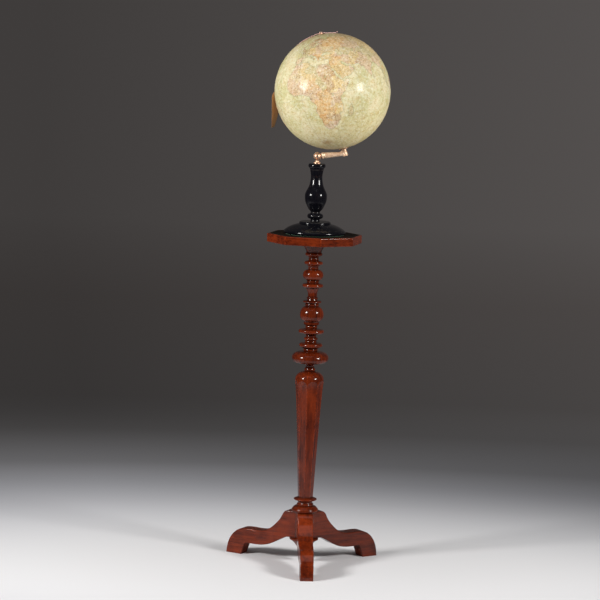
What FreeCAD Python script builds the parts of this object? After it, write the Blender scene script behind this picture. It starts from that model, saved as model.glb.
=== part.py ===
import FreeCAD, Part
import math
import os

from FreeCAD import Placement, Rotation, Vector

# A twelve-inch terrestrial globe on an ebonised table stand, which stands on a mahogany tripod
# torchere with an octagonal top. Millimetres, +Z up. The origin is on the floor, on the axis of the
# torchere's column, and the front leg points along -Y.

# ---- driving dimensions -------------------------------------------------------------------------
GLOBE_RADIUS = 152.4            # a twelve-inch globe
AXIS_LEAN = 13.5                # degrees from upright, leaning toward -X at the north pole
TORCHERE_HEIGHT = 885.6         # floor to the upper face of the octagonal top
TOP_THICKNESS = 22.8
TOP_CORNER_RADIUS = 126.5       # centre to corner of the octagonal top
TOP_TURN = 5.0                  # degrees, a corner of the top from -Y toward +X
TOP_ROUNDING = 2.2
PANEL_INSET = 4.0               # width of the mahogany border round the dark panel
PANEL_THICKNESS = 1.5
BEARER_RADIUS = 46.0
TOP_SCREW_CIRCLE = 36.0
SHAFT_TURN = -11.0              # degrees, a corner of the octagonal shaft from -Y toward +X
SHAFT_ENVELOPE_RADIUS = 37.9
SHAFT_FOOT_INRADIUS = 18.7
FOOT_RADIUS = 227.5             # column axis to the outer end of a foot
LEG_ROOT_WIDTH = 42.0
LEG_FOOT_WIDTH = 34.0
LEG_ROOT_RADIUS = 45.0
LEG_ROUNDING = 2.0
TENON_WIDTH = 13.0
TENON_INNER_RADIUS = 14.0
HUB_RADIUS = 27.0
HUB_TOP = 138.0
HUB_BOTTOM = 66.5
COLLAR_TOP = 178.5
SHAFT_TOP = 518.5
DISC_TOP = 583.0
RING_TOP = 621.0
BULB_BOTTOM = 645.0
BULB_TOP = 712.0
BALUSTER_TOP = 802.6
CUP_TOP = 856.0
SPIGOT_RADIUS = 7.0
SPIGOT_LENGTH = 14.0
PAD_THICKNESS = 1.4
STAND_BASE_RADIUS = 82.0
STAND_BASE_TOP = 919.0
STAND_TOP = 1072.0
STAND_TENON_RADIUS = 8.5
PIVOT_HEIGHT = 1091.9           # centre of the knuckle that tilts the arm
KNUCKLE_RADIUS = 10.5
TONGUE_THICKNESS = 6.0
CHEEK_CLEARANCE = 0.3
PIVOT_PIN_RADIUS = 2.2
RUNNING_CLEARANCE = 0.05
SHANK_RADIUS = 4.0
SHANK_LENGTH = 38.0
ARM_REACH = 73.0                # knuckle to the globe's axis, square to that axis
ARM_DROOP = 6.7                 # degrees, the bar below the line square to the globe's axis
POLE_HEIGHT = 6.5               # south pole above the knuckle, along the globe's axis
ROD_RADIUS = 2.8
UPRIGHT_BOTTOM = -14.8          # along the globe's axis from the knuckle's level
UPRIGHT_TOP = 4.8
BUSH_STAND_OUT = 0.5            # how far a pole bush stands out of the paper
BUSH_RADIUS = 5.5
PAPER_THICKNESS = 0.4
SHELL_THICKNESS = 3.5
PLUG_DEPTH = 14.0               # how deep a pole plug reaches in from the shell's inner face
GORE_COUNT = 12
CALOTTE_LATITUDE = 80.0
GLOBE_TURN = -124.9             # degrees, where longitude zero stands at rest
STRING_DIAMETER = 1.6
LOOP_RADIUS = 4.9
TAG_LENGTH = 95.0
TAG_WIDTH = 48.0
TAG_THICKNESS = 0.6
TAG_BOTTOM = 1160.0
TAG_TURN = 58.0                 # degrees, the tag's width from +X toward +Y
TAG_CORNER = 10.0
TAG_HOLE_DROP = 8.0
TAG_HOLE_RADIUS = 2.6
EYELET_RADIUS = 6.0
EYELET_FLANGE = 0.4
EYELET_BORE = 2.0
TAG_LOOP_HALF_WIDTH = 2.0
TAG_LOOP_SLACK = 0.3            # the loop's lower end below the top of the bore
TAG_KNOT_RADIUS = 1.7
TAIL_KNOT_RADIUS = 2.5
KNOT_GAP = 0.05                 # between a knot and the string that enters it

# The string's route over the globe, from the loop round the finial to the knot above the tag.
STRING_ROUTE = [
    (-7.6, 2.2, 1413.6), (-25.6, 10.0, 1408.7), (-52.0, 22.1, 1393.3), (-74.7, 33.3, 1372.3),
    (-92.6, 43.0, 1346.5), (-105.0, 50.9, 1317.0), (-111.3, 56.5, 1285.3), (-111.3, 58.7, 1261.5)]
# The string's short tail, which lies over the top of the globe and ends in a knot.
TAIL_ROUTE = [
    (3.3, 0.0, 1416.4), (11.0, -2.0, 1418.6), (20.0, 1.0, 1419.4), (29.0, -1.0, 1419.6),
    (37.5, 0.5, 1419.4)]

# ---- values that follow from them ---------------------------------------------------------------
TOP_UNDERSIDE = TORCHERE_HEIGHT - TOP_THICKNESS
STAND_BOTTOM = TORCHERE_HEIGHT + PAD_THICKNESS
STAND_TENON_BOTTOM = STAND_BOTTOM + 6.0
PAPER_INNER_RADIUS = GLOBE_RADIUS - PAPER_THICKNESS
SHELL_INNER_RADIUS = PAPER_INNER_RADIUS - SHELL_THICKNESS
GLOBE_HEIGHT = POLE_HEIGHT + GLOBE_RADIUS
NORTH_POLE_HEIGHT = POLE_HEIGHT + 2.0 * GLOBE_RADIUS
TAG_TOP = TAG_BOTTOM + TAG_LENGTH
TAG_HOLE_HEIGHT = TAG_TOP - TAG_HOLE_DROP
UP = Vector(0, 0, 1)
ACROSS = Vector(0, 1, 0)
ORIGIN = Vector(0, 0, 0)
ARM_PLACE = Placement(Vector(0, 0, PIVOT_HEIGHT), Rotation(ACROSS, -AXIS_LEAN))
GLOBE_PLACE = ARM_PLACE.multiply(
    Placement(Vector(ARM_REACH, 0, GLOBE_HEIGHT), Rotation(UP, GLOBE_TURN)))


# ---- general shapes -----------------------------------------------------------------------------
def save(shape, node):
    """Write one node, after checking that it is a sound closed solid."""
    if not shape.isValid() or shape.Volume <= 0.0:
        raise ValueError(node + " is not a sound solid")
    shape.exportStep("parts/" + node + ".step")


def path_edges(start, stretches, point):
    """Edges from start through each stretch: one point is a line, two an arc, more a spline."""
    edges = []
    here = point(*start)
    for stretch in stretches:
        points = [here] + [point(*pair) for pair in stretch]
        if len(points) == 2:
            curve = Part.LineSegment(points[0], points[1])
        elif len(points) == 3:
            curve = Part.Arc(points[0], points[1], points[2])
        else:
            curve = Part.BSplineCurve()
            curve.interpolate(points)
        edges.append(curve.toShape())
        here = points[-1]
    return edges, here


def turned(bottom, *stretches):
    """A solid turned on the Z axis, from its foot on the axis to its top, as (radius, height)."""
    edges, last = path_edges((0.0, bottom), stretches, lambda radius, height: Vector(radius, 0, height))
    if last.x > 0.0:
        edges.append(Part.LineSegment(last, Vector(0, 0, last.z)).toShape())
        last = Vector(0, 0, last.z)
    edges.append(Part.LineSegment(last, Vector(0, 0, bottom)).toShape())
    return Part.Face(Part.Wire(edges)).revolve(ORIGIN, UP, 360)


def cylinder(radius, bottom, top, x=0.0, y=0.0):
    return Part.makeCylinder(radius, top - bottom, Vector(x, y, bottom), UP)


def ring(outer, inner, bottom, top):
    return cylinder(outer, bottom, top).cut(cylinder(inner, bottom - 1.0, top + 1.0))


def polygon_wire(corner_radius, sides, height, turn):
    """A regular polygon; turn is the angle of one corner from -Y toward +X."""
    points = []
    for side in range(sides + 1):
        angle = math.radians(turn - 90.0 + side * 360.0 / sides)
        points.append(Vector(corner_radius * math.cos(angle), corner_radius * math.sin(angle), height))
    return Part.makePolygon(points)


def octagon_plate(corner_radius, bottom, top):
    face = Part.Face(polygon_wire(corner_radius, 8, bottom, TOP_TURN))
    return face.extrude(Vector(0, 0, top - bottom))


def spigot(height, radius=SPIGOT_RADIUS):
    """The round tenon that joins the turned piece below a height to the one above it."""
    return cylinder(radius, height, height + SPIGOT_LENGTH)


def turned_section(bottom, top, stretches, socket_radius=SPIGOT_RADIUS):
    """One turned piece of the column, with a socket below and a spigot above."""
    body = turned(bottom, *stretches)
    body = body.fuse(spigot(top))
    return body.cut(spigot(bottom, socket_radius)).removeSplitter()


# ---- torchere: legs and hub ---------------------------------------------------------------------
def leg_profile():
    """The side view of a leg, as (radius, height): shoulder, sweep, knee, foot and arched underside."""
    inner = TENON_INNER_RADIUS
    stretches = [
        [(45.0, HUB_TOP)],
        [(48.5, 136.5), (61.0, 118.5), (77.0, 98.5), (93.0, 84.3), (110.0, 75.2), (128.0, 71.8),
         (150.0, 72.0), (171.0, 72.2), (188.0, 68.8), (203.0, 59.5), (217.0, 42.0), (225.5, 18.0),
         (FOOT_RADIUS, 0.0)],
        [(181.0, 0.0)],
        [(177.5, 12.0), (171.0, 29.0)],
        [(167.5, 32.2), (160.0, 32.8)],
        [(140.0, 32.6), (125.0, 33.2), (108.0, 35.8), (92.0, 41.0), (75.0, 49.8), (58.0, 59.0),
         (42.0, HUB_BOTTOM)],
        [(inner, HUB_BOTTOM)],
        [(inner, HUB_TOP)]]
    edges, last = path_edges((inner, HUB_TOP), stretches, lambda radius, height: Vector(radius, 0, height))
    return Part.Face(Part.Wire(edges))


def leg_plan():
    """The leg from above: it narrows from the root to the foot."""
    root = LEG_ROOT_WIDTH / 2.0
    foot = LEG_FOOT_WIDTH / 2.0
    corners = [(0.0, -root), (LEG_ROOT_RADIUS, -root), (FOOT_RADIUS + 5.0, -foot),
               (FOOT_RADIUS + 5.0, foot), (LEG_ROOT_RADIUS, root), (0.0, root), (0.0, -root)]
    outline = Part.makePolygon([Vector(x, y, -5.0) for x, y in corners])
    return Part.Face(outline).extrude(Vector(0, 0, HUB_TOP + 20.0))


def tenon_box():
    size = HUB_RADIUS + 1.0 - TENON_INNER_RADIUS
    corner = Vector(TENON_INNER_RADIUS, -TENON_WIDTH / 2.0, HUB_BOTTOM)
    return Part.makeBox(size, TENON_WIDTH, HUB_TOP - HUB_BOTTOM, corner)


def is_long_arris(edge):
    """True for the edges that run along a leg, between its sides and its upper and lower faces."""
    first, last = edge.ParameterRange
    places = [edge.valueAt(first + (last - first) * share) for share in (0.1, 0.5, 0.9)]
    clear_of_hub = min(math.hypot(place.x, place.y) for place in places) > HUB_RADIUS + 1.0
    on_floor = max(abs(place.z) for place in places) < 0.01
    crosses = abs(places[0].y - places[2].y) > LEG_FOOT_WIDTH / 2.0
    return clear_of_hub and edge.Length > 2.0 and not on_floor and not crosses


def leg():
    """A leg that points along +X, with the tenon that slides into the hub."""
    blank = leg_profile().extrude(Vector(0, LEG_ROOT_WIDTH, 0))
    blank.translate(Vector(0, -LEG_ROOT_WIDTH / 2.0, 0))
    body = blank.common(leg_plan())
    body = body.cut(cylinder(HUB_RADIUS, 0.0, HUB_TOP + 10.0))
    body = body.makeFillet(LEG_ROUNDING, [edge for edge in body.Edges if is_long_arris(edge)])
    return body.fuse(tenon_box().common(blank)).removeSplitter()


def leg_directions():
    return {"leg_front": -90.0, "leg_right": 30.0, "leg_left": 150.0}


def turned_about(shape, degrees):
    copy = shape.copy()
    copy.rotate(ORIGIN, UP, degrees)
    return copy


def hub_block():
    block = cylinder(HUB_RADIUS, HUB_BOTTOM, HUB_TOP)
    for degrees in leg_directions().values():
        block = block.cut(turned_about(tenon_box(), degrees))
    block = block.fuse(spigot(HUB_TOP, 10.0))
    return block.cut(spigot(HUB_BOTTOM, 9.0))


def hub_pendant():
    drop = turned(
        26.0, [(3.0, 26.0)], [(7.4, 28.0), (10.0, 31.5)],
        [(12.5, 34.5), (16.5, 40.0), (20.5, 46.0), (25.5, 52.5), (31.5, 58.0), (36.2, 61.5)],
        [(38.6, 64.0), (36.5, HUB_BOTTOM)])
    return drop.fuse(spigot(HUB_BOTTOM, 9.0))


# ---- torchere: the column, from the hub up ------------------------------------------------------
def column_collar():
    return turned_section(HUB_TOP, COLLAR_TOP, [
        [(34.2, HUB_TOP)], [(35.6, 142.6), (32.6, 148.6)], [(29.0, 152.6), (23.5, 154.2)],
        [(20.6, 154.6)], [(22.4, 158.0), (20.4, 161.0)], [(19.6, 164.0), (21.6, 167.6)],
        [(28.8, 170.2)], [(30.8, 172.4), (29.4, 174.2)], [(22.6, 176.6)], [(20.4, COLLAR_TOP)]],
        socket_radius=10.0)


def facet_cutter():
    """What is cut away outside the facet that faces +X; its inner face follows the shaft's taper."""
    taper = [(280.0, 23.2), (386.0, 28.2), (440.0, 31.2), (472.0, 33.5), (486.0, 35.4), (500.0, 40.0)]
    stretches = [[(radius, height) for height, radius in taper], [(70.0, 500.0)],
                 [(70.0, COLLAR_TOP - 1.0)], [(SHAFT_FOOT_INRADIUS, COLLAR_TOP - 1.0)]]
    start = (SHAFT_FOOT_INRADIUS, COLLAR_TOP - 1.0)
    edges, last = path_edges(start, stretches, lambda radius, height: Vector(radius, -60.0, height))
    return Part.Face(Part.Wire(edges)).extrude(Vector(0, 120.0, 0))


def octagonal_shaft():
    """Eight tapering facets cut into a turned body, so that they end in arches at its shoulder."""
    wide = SHAFT_ENVELOPE_RADIUS
    body = turned(
        COLLAR_TOP, [(wide, COLLAR_TOP)], [(wide, 496.0)], [(36.4, 504.0), (30.6, 511.4)],
        [(26.0, 514.6), (19.0, 516.6)], [(15.5, SHAFT_TOP)])
    cutter = facet_cutter()
    for side in range(8):
        body = body.cut(turned_about(cutter, SHAFT_TURN - 90.0 + 22.5 + 45.0 * side))
    body = body.fuse(spigot(SHAFT_TOP))
    return body.cut(spigot(COLLAR_TOP)).removeSplitter()


def column_disc():
    return turned_section(SHAFT_TOP, DISC_TOP, [
        [(13.2, SHAFT_TOP)], [(14.8, 523.0), (12.6, 527.8)], [(11.4, 529.2)],
        [(12.0, 534.0), (16.0, 537.6)], [(33.0, 541.6)], [(48.7, 554.8), (40.8, 567.4)],
        [(33.5, 570.6), (23.0, 572.0)], [(17.8, 573.0)], [(19.2, 576.9), (17.8, 580.6)],
        [(22.0, 581.4)], [(22.0, DISC_TOP)]])


def column_ring_lower():
    return turned_section(DISC_TOP, RING_TOP, [
        [(24.0, DISC_TOP)], [(30.8, 588.8), (25.0, 594.6)], [(14.8, 595.6)],
        [(15.8, 598.2), (14.6, 601.0)], [(16.2, 602.2)], [(18.4, 606.0), (16.2, 609.6)],
        [(13.2, 610.8)], [(14.0, 613.6), (13.2, 616.6)], [(16.4, 618.4)], [(16.4, RING_TOP)]])


def column_ring_upper():
    return turned_section(RING_TOP, BULB_BOTTOM, [
        [(28.5, RING_TOP)], [(33.8, 625.8), (29.5, 630.8)], [(19.5, 632.4)], [(14.8, 634.4)],
        [(15.9, 638.4), (14.8, 642.2)], [(19.4, 643.4)], [(19.4, BULB_BOTTOM)]])


def column_bulb():
    return turned_section(BULB_BOTTOM, BULB_TOP, [
        [(20.4, BULB_BOTTOM)], [(20.4, 651.4)], [(21.6, 653.6)],
        [(27.6, 658.2), (30.9, 665.4), (31.3, 672.8), (29.6, 681.0), (25.4, 687.8), (19.6, 692.0)],
        [(17.2, 693.4)], [(18.8, 697.0), (17.2, 700.4)], [(21.4, 702.4)],
        [(24.4, 705.4), (21.4, 708.2)], [(13.6, 709.4)], [(12.8, BULB_TOP)]])


def column_baluster():
    return turned_section(BULB_TOP, BALUSTER_TOP, [
        [(12.8, BULB_TOP)], [(15.2, 714.6), (12.8, 717.4)], [(12.0, 719.0)],
        [(11.9, 724.0), (12.6, 730.0), (14.6, 735.4), (16.6, 739.6)], [(17.2, 741.6)],
        [(23.4, 743.4)], [(27.6, 748.4), (23.4, 753.4)], [(16.2, 755.2)], [(15.4, 756.6)],
        [(16.6, 759.0), (15.4, 761.4)], [(20.4, 764.4)],
        [(25.6, 769.8), (27.3, 777.0), (25.2, 784.2), (19.6, 789.4), (14.0, 791.6)],
        [(12.8, 792.4)], [(13.8, 795.0), (12.8, 797.6)], [(13.6, 800.0)], [(16.4, 801.2)],
        [(16.4, BALUSTER_TOP)]])


def column_cup():
    return turned_section(BALUSTER_TOP, CUP_TOP, [
        [(17.0, BALUSTER_TOP)], [(20.4, 804.4)], [(24.4, 808.8), (20.4, 813.2)], [(14.4, 815.2)],
        [(12.8, 816.2)], [(13.8, 818.8), (12.8, 821.4)], [(14.4, 824.6), (18.8, 827.4)],
        [(22.8, 831.8), (20.6, 836.0)], [(20.0, 837.6)],
        [(21.4, 842.0), (25.0, 848.4), (29.0, CUP_TOP)]])


# ---- torchere: the octagonal top ----------------------------------------------------------------
def top_screw(index):
    """A countersunk wood screw that holds the top to its bearer from below."""
    angle = math.radians(45.0 + 90.0 * index)
    x = TOP_SCREW_CIRCLE * math.cos(angle)
    y = TOP_SCREW_CIRCLE * math.sin(angle)
    head = Part.makeCone(3.8, 1.9, 2.2, Vector(x, y, CUP_TOP), UP)
    return head.fuse(cylinder(1.9, CUP_TOP + 2.2, TOP_UNDERSIDE + 13.0, x, y)).removeSplitter()


def top_bearer():
    bearer = turned(CUP_TOP, [(BEARER_RADIUS - 2.5, CUP_TOP)], [(BEARER_RADIUS, CUP_TOP + 2.5)],
                    [(BEARER_RADIUS, TOP_UNDERSIDE)])
    for index in range(4):
        bearer = bearer.cut(top_screw(index))
    return bearer.cut(spigot(CUP_TOP))


def top_board():
    board = octagon_plate(TOP_CORNER_RADIUS, TOP_UNDERSIDE, TORCHERE_HEIGHT)
    board = board.makeFillet(TOP_ROUNDING, board.Edges)
    board = board.cut(top_panel())
    for index in range(4):
        board = board.cut(top_screw(index))
    return board.cut(spigot(CUP_TOP))


def top_panel():
    corner = TOP_CORNER_RADIUS - PANEL_INSET
    return octagon_plate(corner, TORCHERE_HEIGHT - PANEL_THICKNESS, TORCHERE_HEIGHT)


# ---- the ebonised table stand -------------------------------------------------------------------
def stand_pad():
    return cylinder(STAND_BASE_RADIUS - 4.0, TORCHERE_HEIGHT, STAND_BOTTOM)


def stand_base():
    """A low dome with a rounded rim and a small flat step round the foot of the column."""
    wide = STAND_BASE_RADIUS
    base = turned(
        STAND_BOTTOM, [(wide - 2.0, STAND_BOTTOM)], [(wide, 891.5), (wide - 3.0, 896.4)],
        [(70.0, 902.6), (57.0, 908.6), (43.6, 912.6)], [(41.6, 913.2)],
        [(41.6, 916.2), (38.6, STAND_BASE_TOP)])
    return base.cut(cylinder(STAND_TENON_RADIUS, STAND_TENON_BOTTOM, STAND_BASE_TOP + 1.0))


def stand_column():
    column = turned(
        STAND_BASE_TOP, [(14.2, STAND_BASE_TOP)], [(12.0, 922.0), (12.6, 925.4)], [(16.0, 926.8)],
        [(21.2, 933.0), (16.6, 939.6)], [(12.6, 941.2)],
        [(12.0, 943.6), (16.4, 949.0), (22.4, 959.0), (27.2, 969.6), (29.4, 982.0), (29.0, 991.0),
         (24.8, 1001.4), (19.6, 1012.0), (16.6, 1024.0), (15.4, 1039.0), (16.8, 1050.0), (18.6, 1058.6)],
        [(18.9, 1060.6)], [(20.6, 1061.2)], [(22.9, 1066.6), (20.4, STAND_TOP)], [(12.0, STAND_TOP)])
    column = column.fuse(cylinder(STAND_TENON_RADIUS, STAND_TENON_BOTTOM, STAND_BASE_TOP))
    return column.cut(cylinder(SHANK_RADIUS, STAND_TOP - SHANK_LENGTH, STAND_TOP + 1.0)).removeSplitter()


def stand_ferrule():
    """The small brass collar round the foot of the knuckle's stem."""
    outside = turned(
        STAND_TOP, [(8.8, STAND_TOP)], [(9.2, STAND_TOP + 2.4), (7.2, STAND_TOP + 5.2)])
    return outside.cut(cylinder(SHANK_RADIUS + 1.5, STAND_TOP - 1.0, STAND_TOP + 7.0))


def knuckle_ball():
    return Part.makeSphere(KNUCKLE_RADIUS, Vector(0, 0, PIVOT_HEIGHT))


def pivot_cylinder(radius, half_length):
    return Part.makeCylinder(radius, 2.0 * half_length, Vector(0, -half_length, PIVOT_HEIGHT), ACROSS)


def knuckle_fork():
    """Screw shank, neck and a ball that a slot divides into two cheeks."""
    neck = turned(
        STAND_TOP - SHANK_LENGTH, [(SHANK_RADIUS, STAND_TOP - SHANK_LENGTH)], [(SHANK_RADIUS, STAND_TOP)],
        [(SHANK_RADIUS + 1.5, STAND_TOP)], [(SHANK_RADIUS + 1.5, STAND_TOP + 6.4)],
        [(5.6, STAND_TOP + 9.0), (8.4, STAND_TOP + 13.0)])
    fork = neck.fuse(knuckle_ball())
    half_slot = TONGUE_THICKNESS / 2.0 + CHEEK_CLEARANCE
    floor = PIVOT_HEIGHT - KNUCKLE_RADIUS - 0.2
    slot = Part.makeBox(60.0, 2.0 * half_slot, 30.0, Vector(-30.0, -half_slot, floor))
    return fork.cut(slot).cut(pivot_cylinder(PIVOT_PIN_RADIUS, 20.0)).removeSplitter()


def pivot_pin():
    """The pin of the knuckle, with its ends dressed flush with the ball."""
    return pivot_cylinder(PIVOT_PIN_RADIUS, 20.0).common(knuckle_ball())


# ---- the brass arm, in its own frame: X square to the globe's axis, Z along it ------------------
def bar_solid():
    """The tapering bar with a bead at its root, turned about the line from knuckle to upright."""
    length = ARM_REACH / math.cos(math.radians(ARM_DROOP))
    bar = turned(
        10.9, [(6.2, 10.9)], [(8.8, 14.6), (7.0, 18.2)], [(7.8, 19.6)], [(5.0, length)])
    bar.rotate(ORIGIN, ACROSS, 90.0 + ARM_DROOP)
    return bar


def tongue():
    half = TONGUE_THICKNESS / 2.0
    eye = Part.makeCylinder(KNUCKLE_RADIUS - 0.3, TONGUE_THICKNESS, Vector(0, -half, 0), ACROSS)
    neck = Part.makeBox(12.5, TONGUE_THICKNESS, 12.0, Vector(0, -half, -6.0))
    neck.rotate(ORIGIN, ACROSS, ARM_DROOP)
    hole = Part.makeCylinder(PIVOT_PIN_RADIUS + RUNNING_CLEARANCE, 20.0, Vector(0, -10.0, 0), ACROSS)
    return eye.fuse(neck).cut(hole)


def upright():
    post = turned(
        UPRIGHT_BOTTOM, [(5.4, UPRIGHT_BOTTOM)], [(6.5, UPRIGHT_BOTTOM + 0.6), (6.9, UPRIGHT_BOTTOM + 2.2)],
        [(5.2, UPRIGHT_TOP - 1.6)], [(6.4, UPRIGHT_TOP)])
    post.translate(Vector(ARM_REACH, 0, 0))
    return post


def gusset():
    """The web that stiffens the inner corner between bar and upright."""
    corners = [(ARM_REACH - 15.0, -4.0), (ARM_REACH - 14.5, -1.8), (ARM_REACH - 9.0, 0.4),
               (ARM_REACH - 5.2, 4.0), (ARM_REACH, 3.6), (ARM_REACH, -8.0)]
    points = [Vector(x, -3.6, z) for x, z in corners]
    return Part.Face(Part.makePolygon(points + points[:1])).extrude(Vector(0, 7.2, 0))


def arm_casting():
    body = tongue().fuse([bar_solid(), upright(), gusset()])
    body = body.cut(cylinder(ROD_RADIUS, UPRIGHT_BOTTOM - 5.0, UPRIGHT_TOP + 5.0, ARM_REACH))
    return body.cut(arm_pin_blank()).removeSplitter()


def arm_pin_blank():
    """The taper pin that fixes the rod in the upright."""
    return Part.makeCone(1.5, 1.1, 15.6, Vector(ARM_REACH, -7.8, UPRIGHT_BOTTOM + 5.5), ACROSS)


def axis_rod():
    tip = NORTH_POLE_HEIGHT + 8.4
    rod = turned(
        UPRIGHT_BOTTOM - 0.8, [(ROD_RADIUS - 0.6, UPRIGHT_BOTTOM - 0.8)], [(ROD_RADIUS, UPRIGHT_BOTTOM)],
        [(ROD_RADIUS, tip - 1.4)], [(ROD_RADIUS * 0.86, tip - 0.6), (ROD_RADIUS * 0.5, tip)])
    rod.translate(Vector(ARM_REACH, 0, 0))
    return rod.cut(arm_pin_blank())


def on_axis(shape):
    """Move a shape turned about Z on to the globe's axis in the arm's frame."""
    shape.translate(Vector(ARM_REACH, 0, 0))
    return shape


def pole_dish():
    """The thin dished washer between the arm and the globe's south pole."""
    seat = POLE_HEIGHT - BUSH_STAND_OUT
    dish = turned(
        UPRIGHT_TOP, [(7.0, UPRIGHT_TOP)], [(11.0, UPRIGHT_TOP - 0.1), (14.2, UPRIGHT_TOP + 0.6)],
        [(14.4, UPRIGHT_TOP + 1.2), (14.0, UPRIGHT_TOP + 1.5)], [(10.5, seat - 0.3), (7.5, seat)])
    return on_axis(dish.cut(cylinder(ROD_RADIUS, 0.0, 20.0)))


def pole_washer():
    seat = NORTH_POLE_HEIGHT + BUSH_STAND_OUT
    washer = turned(seat, [(7.2, seat)], [(8.0, seat + 0.5), (7.2, seat + 1.0)])
    return on_axis(washer.cut(cylinder(ROD_RADIUS, seat - 1.0, seat + 3.0)))


def finial_nut():
    """A small round nut with a waist that the string is tied round."""
    foot = NORTH_POLE_HEIGHT + BUSH_STAND_OUT + 1.0
    nut = turned(
        foot, [(4.4, foot)], [(4.9, foot + 0.6), (4.2, foot + 1.2)], [(3.9, foot + 1.8), (4.0, foot + 2.6)],
        [(4.7, foot + 3.4), (4.0, foot + 4.4)])
    return on_axis(nut.cut(cylinder(ROD_RADIUS, foot - 1.0, foot + 6.0)))


# ---- the globe, in its own frame: centre at the origin, north pole up ---------------------------
def full_rod_bore(radius):
    return cylinder(radius, -GLOBE_RADIUS - 5.0, GLOBE_RADIUS + 5.0)


def gore(index):
    """One printed paper gore: a thin spherical wedge between the two polar calottes."""
    step = 360.0 / GORE_COUNT
    wedge = Part.makeSphere(GLOBE_RADIUS, ORIGIN, UP, -CALOTTE_LATITUDE, CALOTTE_LATITUDE, step)
    piece = wedge.cut(Part.makeSphere(PAPER_INNER_RADIUS, ORIGIN))
    return turned_about(piece, index * step)


def calotte(sign):
    """The round paper disc over the tips of the gores at one pole."""
    height = GLOBE_RADIUS * math.sin(math.radians(CALOTTE_LATITUDE))
    cap = Part.makeSphere(GLOBE_RADIUS, ORIGIN).common(cylinder(60.0, height, GLOBE_RADIUS + 1.0))
    cap = cap.cut(Part.makeSphere(PAPER_INNER_RADIUS, ORIGIN)).cut(full_rod_bore(BUSH_RADIUS))
    return cap if sign > 0 else cap.mirror(ORIGIN, UP)


def hemisphere(sign):
    """Half of the pasteboard and plaster shell."""
    shell = Part.makeSphere(PAPER_INNER_RADIUS, ORIGIN, UP, 0, 90, 360)
    shell = shell.cut(Part.makeSphere(SHELL_INNER_RADIUS, ORIGIN)).cut(full_rod_bore(BUSH_RADIUS))
    return shell if sign > 0 else shell.mirror(ORIGIN, UP)




def pole_plug(sign):
    """A turned softwood disc inside the shell at one pole."""
    low = SHELL_INNER_RADIUS - PLUG_DEPTH
    plug = Part.makeSphere(SHELL_INNER_RADIUS, ORIGIN).common(cylinder(26.0, low, GLOBE_RADIUS))
    plug = plug.cut(full_rod_bore(BUSH_RADIUS))
    return plug if sign > 0 else plug.mirror(ORIGIN, UP)


def pole_bush(sign):
    """The brass bush that turns on the rod."""
    inner = SHELL_INNER_RADIUS - PLUG_DEPTH
    bush = ring(BUSH_RADIUS, ROD_RADIUS + RUNNING_CLEARANCE, inner, GLOBE_RADIUS + BUSH_STAND_OUT)
    return bush if sign > 0 else bush.mirror(ORIGIN, UP)


# ---- string and tag -----------------------------------------------------------------------------
def cord_tube(route, diameter, name):
    """Straight runs joined by tangent arcs, each as large as its two runs allow."""
    points = [Vector(*point) for point in route]
    edges = []
    radii = []
    here = points[0]
    length = 0.0
    for before, corner, after in zip(points, points[1:], points[2:]):
        inward = (corner - before).normalize()
        outward = (after - corner).normalize()
        half_turn = math.acos(max(-1.0, min(1.0, inward.dot(outward)))) / 2.0
        shorter = min((corner - before).Length, (after - corner).Length)
        setback = 0.45 * shorter
        radius = setback / math.tan(half_turn)
        start = corner - inward * setback
        end = corner + outward * setback
        middle = corner + (outward - inward).normalize() * (radius / math.cos(half_turn) - radius)
        edges.append(Part.LineSegment(here, start).toShape())
        edges.append(Part.Arc(start, middle, end).toShape())
        length += (start - here).Length + 2.0 * half_turn * radius
        radii.append(round(radius, 1))
        here = end
    edges.append(Part.LineSegment(here, points[-1]).toShape())
    length += (points[-1] - here).Length
    direction = points[1] - points[0]
    section = Part.Wire([Part.makeCircle(diameter / 2.0, points[0], direction)])
    tube = Part.Wire(edges).makePipeShell([section], True, True)
    if not tube.isClosed():
        raise ValueError(name + " is open")
    expected = math.pi * diameter * diameter / 4.0 * length
    print(name, "length", round(length, 1), "radii", radii, "volume ratio", round(tube.Volume / expected, 4))
    return tube


def string_loop():
    """The turn of string tied round the finial nut."""
    height = NORTH_POLE_HEIGHT + BUSH_STAND_OUT + 1.0 + 2.2
    return on_axis(Part.makeTorus(LOOP_RADIUS, STRING_DIAMETER / 2.0, Vector(0, 0, height), UP))


def knot(place, radius, squash):
    """A small ovoid knot; squash is its height over its width."""
    ball = Part.makeSphere(radius, ORIGIN)
    matrix = FreeCAD.Matrix()
    matrix.scale(Vector(1.0, 1.0, squash))
    ball = ball.transformGeometry(matrix)
    ball.translate(Vector(*place))
    return ball


def tag_place():
    x, y, height = STRING_ROUTE[-1]
    return Placement(Vector(x, y, 0), Rotation(UP, TAG_TURN))


def tag_blank():
    """A card label with two clipped corners and a hole, hanging flat in its own XZ plane."""
    half = TAG_WIDTH / 2.0
    corners = [(-half, TAG_BOTTOM), (half, TAG_BOTTOM), (half, TAG_TOP - TAG_CORNER),
               (half - TAG_CORNER, TAG_TOP), (TAG_CORNER - half, TAG_TOP), (-half, TAG_TOP - TAG_CORNER)]
    points = [Vector(x, -TAG_THICKNESS / 2.0, z) for x, z in corners]
    card = Part.Face(Part.makePolygon(points + points[:1])).extrude(Vector(0, TAG_THICKNESS, 0))
    return card.cut(Part.makeCylinder(TAG_HOLE_RADIUS, 4.0, Vector(0, -2.0, TAG_HOLE_HEIGHT), ACROSS))


def tag_card():
    card = tag_blank()
    card.Placement = tag_place()
    return card


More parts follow.
